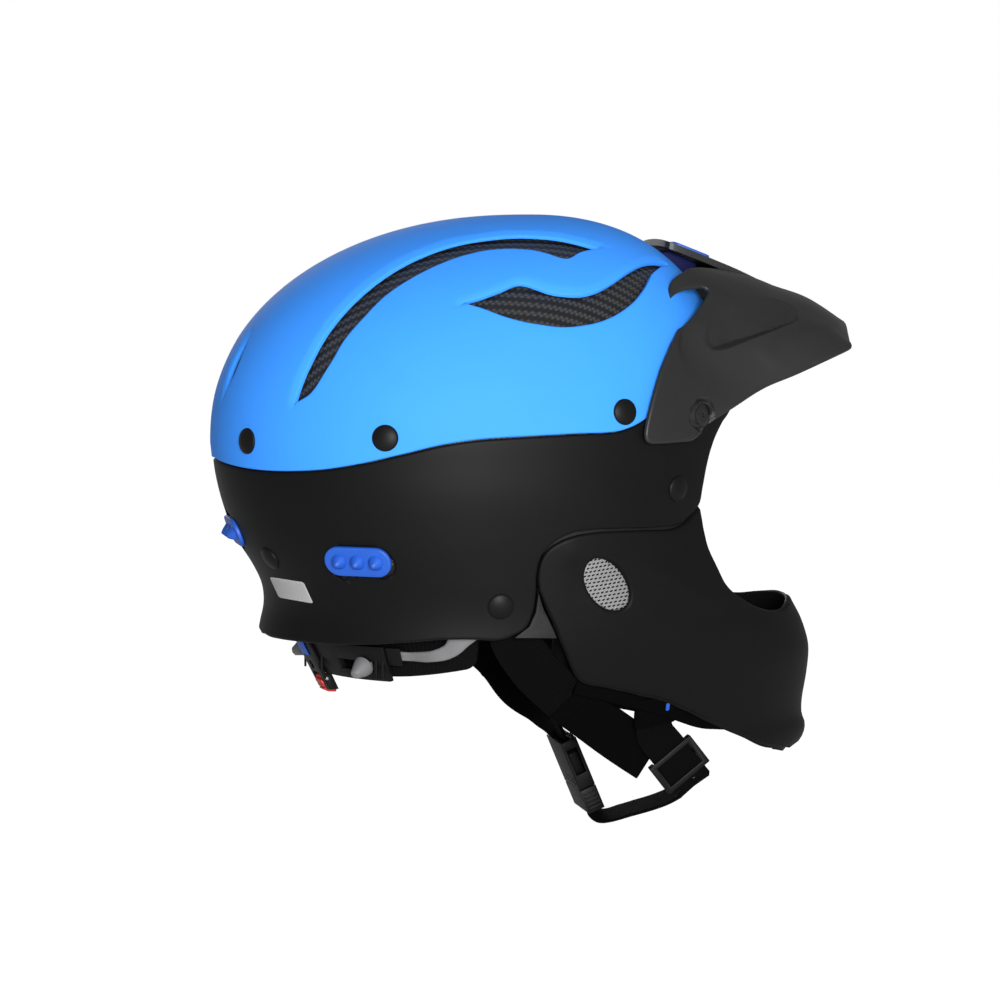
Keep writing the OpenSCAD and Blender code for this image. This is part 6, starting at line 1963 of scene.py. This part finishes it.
def pad(node_name, channels=(), pressure=4.0, most=4.0, swell=1.2, voxel=VOXEL):
    """A filled pad in the place of a skeleton's solid. A channel is (lines in metres, width, depth)."""
    piece = rounded_part(node_name, 1.5, angle=40, merge=0.5)
    piece.name = node_name + "_filled"
    solid = surface_of(node_name)
    remade = piece.modifiers.new("even", "REMESH")
    remade.mode = "VOXEL"
    remade.voxel_size = voxel
    bake(piece)
    softer = piece.modifiers.new("softer", "SMOOTH")
    softer.factor, softer.iterations = 0.5, 4
    bake(piece)
    co = coordinates(piece.data)
    deep, out = depth_in(solid, co)
    set_coordinates(piece.data, co - out * (np.clip(DRAWN_IN * MM - deep, 0, DRAWN_IN * MM) * 0.8)[:, None])
    fill_with_foam(piece, pressure, most)
    subdivided(piece)
    co = coordinates(piece.data)
    deep, out = depth_in(solid, co)
    co = co - out * np.clip(-deep - swell * MM, 0, None)[:, None]
    for line, width, depth in channels:
        near = distances(co, [line]) / MM
        _, out = depth_in(solid, co)
        co = co - out * (depth * MM * np.clip(1 - near / width, 0, 1) ** 1.5)[:, None]
    set_coordinates(piece.data, co)
    piece.data.shade_smooth()
    return piece


def piping(name, loop, thick=1.5, closed=True):
    """A round piping cord along a loop of places in metres."""
    curve_data = bpy.data.curves.new(name, "CURVE")
    curve_data.dimensions = "3D"
    curve_data.bevel_depth = thick / 2 * MM
    curve_data.bevel_resolution = 2
    line = curve_data.splines.new("POLY")
    line.points.add(len(loop) - 1)
    for point, p in zip(line.points, loop):
        point.co = (*p, 1)
    line.use_cyclic_u = closed
    curve_data.use_fill_caps = not closed
    piece = new_object(name, curve_data)
    mesh = bpy.data.meshes.new_from_object(piece.evaluated_get(bpy.context.evaluated_depsgraph_get()))
    bpy.data.objects.remove(piece)
    tube = new_object(name, mesh)
    outward_faces(tube)
    mesh.shade_smooth()
    return tube


def finished_pad(node_name, piece, cords):
    piece = join(piece.name, [piece, *cords])
    dress(piece, pad_cover, "helmet", node_name)
    print(piece.name, len(piece.data.polygons), "faces")
    return piece


def shell_loop(h0, h1, p0, p1, deep, corner=6):
    """A rounded loop round a patch of the shell, at a depth in millimetres."""
    mid_h, mid_p = (h0 + h1) / 2, (p0 + p1) / 2
    box = rounded_box((h1 - h0) * 2.0, (p1 - p0) * 2.0, corner * 2.0, 5)
    dense = smooth_loop(box, 6, corners=())
    return shell(mid_h + dense[:, 0] / 2.0, mid_p + dense[:, 1] / 2.0, deep)


def shell_line(h0, h1, p0, p1, deep, count=24):
    return shell(np.linspace(h0, h1, count), np.linspace(p0, p1, count), deep)


PAD_IN = 29.3
PATCHES = {"side_pad_right": (60, 132, 66, 97), "side_pad_left": (-132, -60, 66, 97),
           "rear_pad": (150, 210, 66, 104), "brow_pad": (-42, 42, 63, 77)}
for label, (h0, h1, p0, p1) in PATCHES.items():
    third = (h1 - h0) / 3
    lines = [] if label == "brow_pad" else [
        (shell_line(h0 + third * k, h0 + third * k, p0 + 4, p1 - 4, PAD_IN), 4.0, 1.5) for k in (1, 2)]
    cover = pad(label, lines)
    cord = piping(label + "_piping", shell_loop(h0 + 2.2, h1 - 2.2, p0 + 1.6, p1 - 1.6, PAD_IN - 1.9, 3))
    finished_pad(label, cover, [cord])
ring_line = shell(np.linspace(0, 360, 49)[:-1], np.full(48, 31.5), PAD_IN - 1.9)
cross_lines = [(shell_line(h, h, 6, 29, PAD_IN), 4.0, 1.4) for h in (0, 90, 180, 270)]
finished_pad("crown_pad", pad("crown_pad", cross_lines), [piping("crown_piping", ring_line)])

# %% Edge of the guard's lining
LINING_AT = [(6, -4), (12, -2.5), (20, -2.5), (28, -2), (36, 0.5), (41, 4), (47, 9), (53, 14)]
LINING_W, LINING_T, LINING_DEEP = 10, 3, 6.2
low_edge = sorted(GUARD_LOW)
for label, turn in (("right", 1), ("left", -1)):
    route = [(guard(a, np.interp(a, *zip(*low_edge)) + lift, LINING_DEEP) / MM * [turn, 1, 1], [0, 0, 1])
             for a, lift in LINING_AT]
    dress(tape(f"lining_edge_{label}", route, LINING_W, LINING_T, step=2.5), smooth_web, "helmet")

# %% Cheek pads
CHEEK = [
    [35, -118, -135], [31, -98, -135], [25, -72, -133], [17.6, -58, -129], [11.5, -54, -124],
    [5.7, -54, -116], [1, -58, -110]]
CHEEK_IN, CHEEK_T = 9.4, 19


def cheek_place(k, share, deep):
    """Place of the cheek pad by its column, its share from top to bottom, and its depth."""
    a, top, low = (np.interp(k, np.arange(len(CHEEK)), [q[i] for q in CHEEK]) for i in range(3))
    belly = 1 - 0.35 * (2 * share - 1) ** 4
    return guard(a, top + (low - top) * share, CHEEK_IN + CHEEK_T * belly * deep)


columns = np.linspace(0.15, len(CHEEK) - 1.15, 40)
for label, turn in (("right", 1), ("left", -1)):
    flip = np.array([turn, 1, 1])
    seam, low_line, belly_line, top_line = (
        cheek_place(columns, np.full(len(columns), share), deep) * flip
        for share, deep in ((0.5, 1.0), (0.93, 0.06), (0.985, 0.42), (0.05, 0.3)))
    cover = pad(f"cheek_pad_{label}", [(seam, 6.0, 1.8)], pressure=5.0, most=6.0, swell=1.4, voxel=0.005)
    cords = [piping(f"cheek_{label}_piping_{k}", q, 1.8, closed=False)
             for k, q in enumerate((low_line, belly_line, top_line))]
    finished_pad(f"cheek_pad_{label}", cover, cords)

# %% [markdown]
# ## Light, floor and backdrop
# One wide lamp near the camera, weak ones above and beyond, and a pale world. The floor and the
# world show as white to the camera, and the floor keeps the helmet's shadow.

# %% Studio
def for_camera(tree, share, others, camera_sees, output):
    """What the camera sees is mixed, by a share, with what every other ray meets."""
    mixed = node(tree, "ShaderNodeMixShader")
    tree.links.new(share, mixed.inputs[0])
    tree.links.new(others, mixed.inputs[1])
    tree.links.new(camera_sees, mixed.inputs[2])
    tree.links.new(mixed.outputs[0], tree.nodes[output].inputs[0])


def studio():
    world = bpy.data.worlds.new("pale_world")
    bpy.context.scene.world = world
    world.use_nodes = True
    tree = world.node_tree
    light = tree.nodes["Background"]
    light.inputs["Color"].default_value = (1, 1, 1, 1)
    light.inputs["Strength"].default_value = WORLD_LIGHT
    seen = node(tree, "ShaderNodeBackground")
    seen.inputs["Color"].default_value = (1, 1, 1, 1)
    seen.inputs["Strength"].default_value = 1.0
    path = node(tree, "ShaderNodeLightPath")
    for_camera(tree, path.outputs["Is Camera Ray"], light.outputs[0], seen.outputs[0], "World Output")


def lamp(name, place, size, watts, target=(0, 0, -0.03)):
    light = bpy.data.lights.new(name, "AREA")
    light.shape = "DISK"
    light.size = size
    light.energy = watts
    piece = new_object(name, light)
    aim_at = Vector(target) - Vector(place)
    piece.matrix_world = Matrix.Translation(place) @ aim_at.to_track_quat("-Z", "Y").to_matrix().to_4x4()
    return piece


WORLD_LIGHT = 0.26
bpy.context.scene.view_settings.view_transform = "Standard"
studio()
key_place = outward * 1.8 + rightward * 0.3 + np.array([0, 0, 0.1])
lamp("key", key_place, 0.6, 38)
lamp("top", (0.1, 0.1, 1.8), 1.0, 0.5)
lamp("far_side", (1.8, 0.1, 0.5), 1.0, 5)

# %% Floor
FLOOR = -0.2018
REACH = 60
GLOW, GLOW_SHARE = 1.18, 0.82


def pale_floor():
    corners = [(x * REACH, y * REACH, FLOOR) for x, y in ((-1, -1), (1, -1), (1, 1), (-1, 1))]
    floor = new_mesh("floor", corners, [(0, 1, 2, 3)])
    material = bpy.data.materials.new("pale_floor")
    material.use_nodes = True
    tree = material.node_tree
    shader = tree.nodes["Principled BSDF"]
    shader.inputs["Base Color"].default_value = (0.9, 0.9, 0.9, 1)
    shader.inputs["Roughness"].default_value = 0.9
    white = node(tree, "ShaderNodeEmission")
    white.inputs["Strength"].default_value = GLOW
    path = node(tree, "ShaderNodeLightPath")
    share = math_node(tree, "MULTIPLY", path.outputs["Is Camera Ray"], GLOW_SHARE)
    for_camera(tree, share, shader.outputs[0], white.outputs[0], "Material Output")
    floor.data.materials.append(material)


pale_floor()
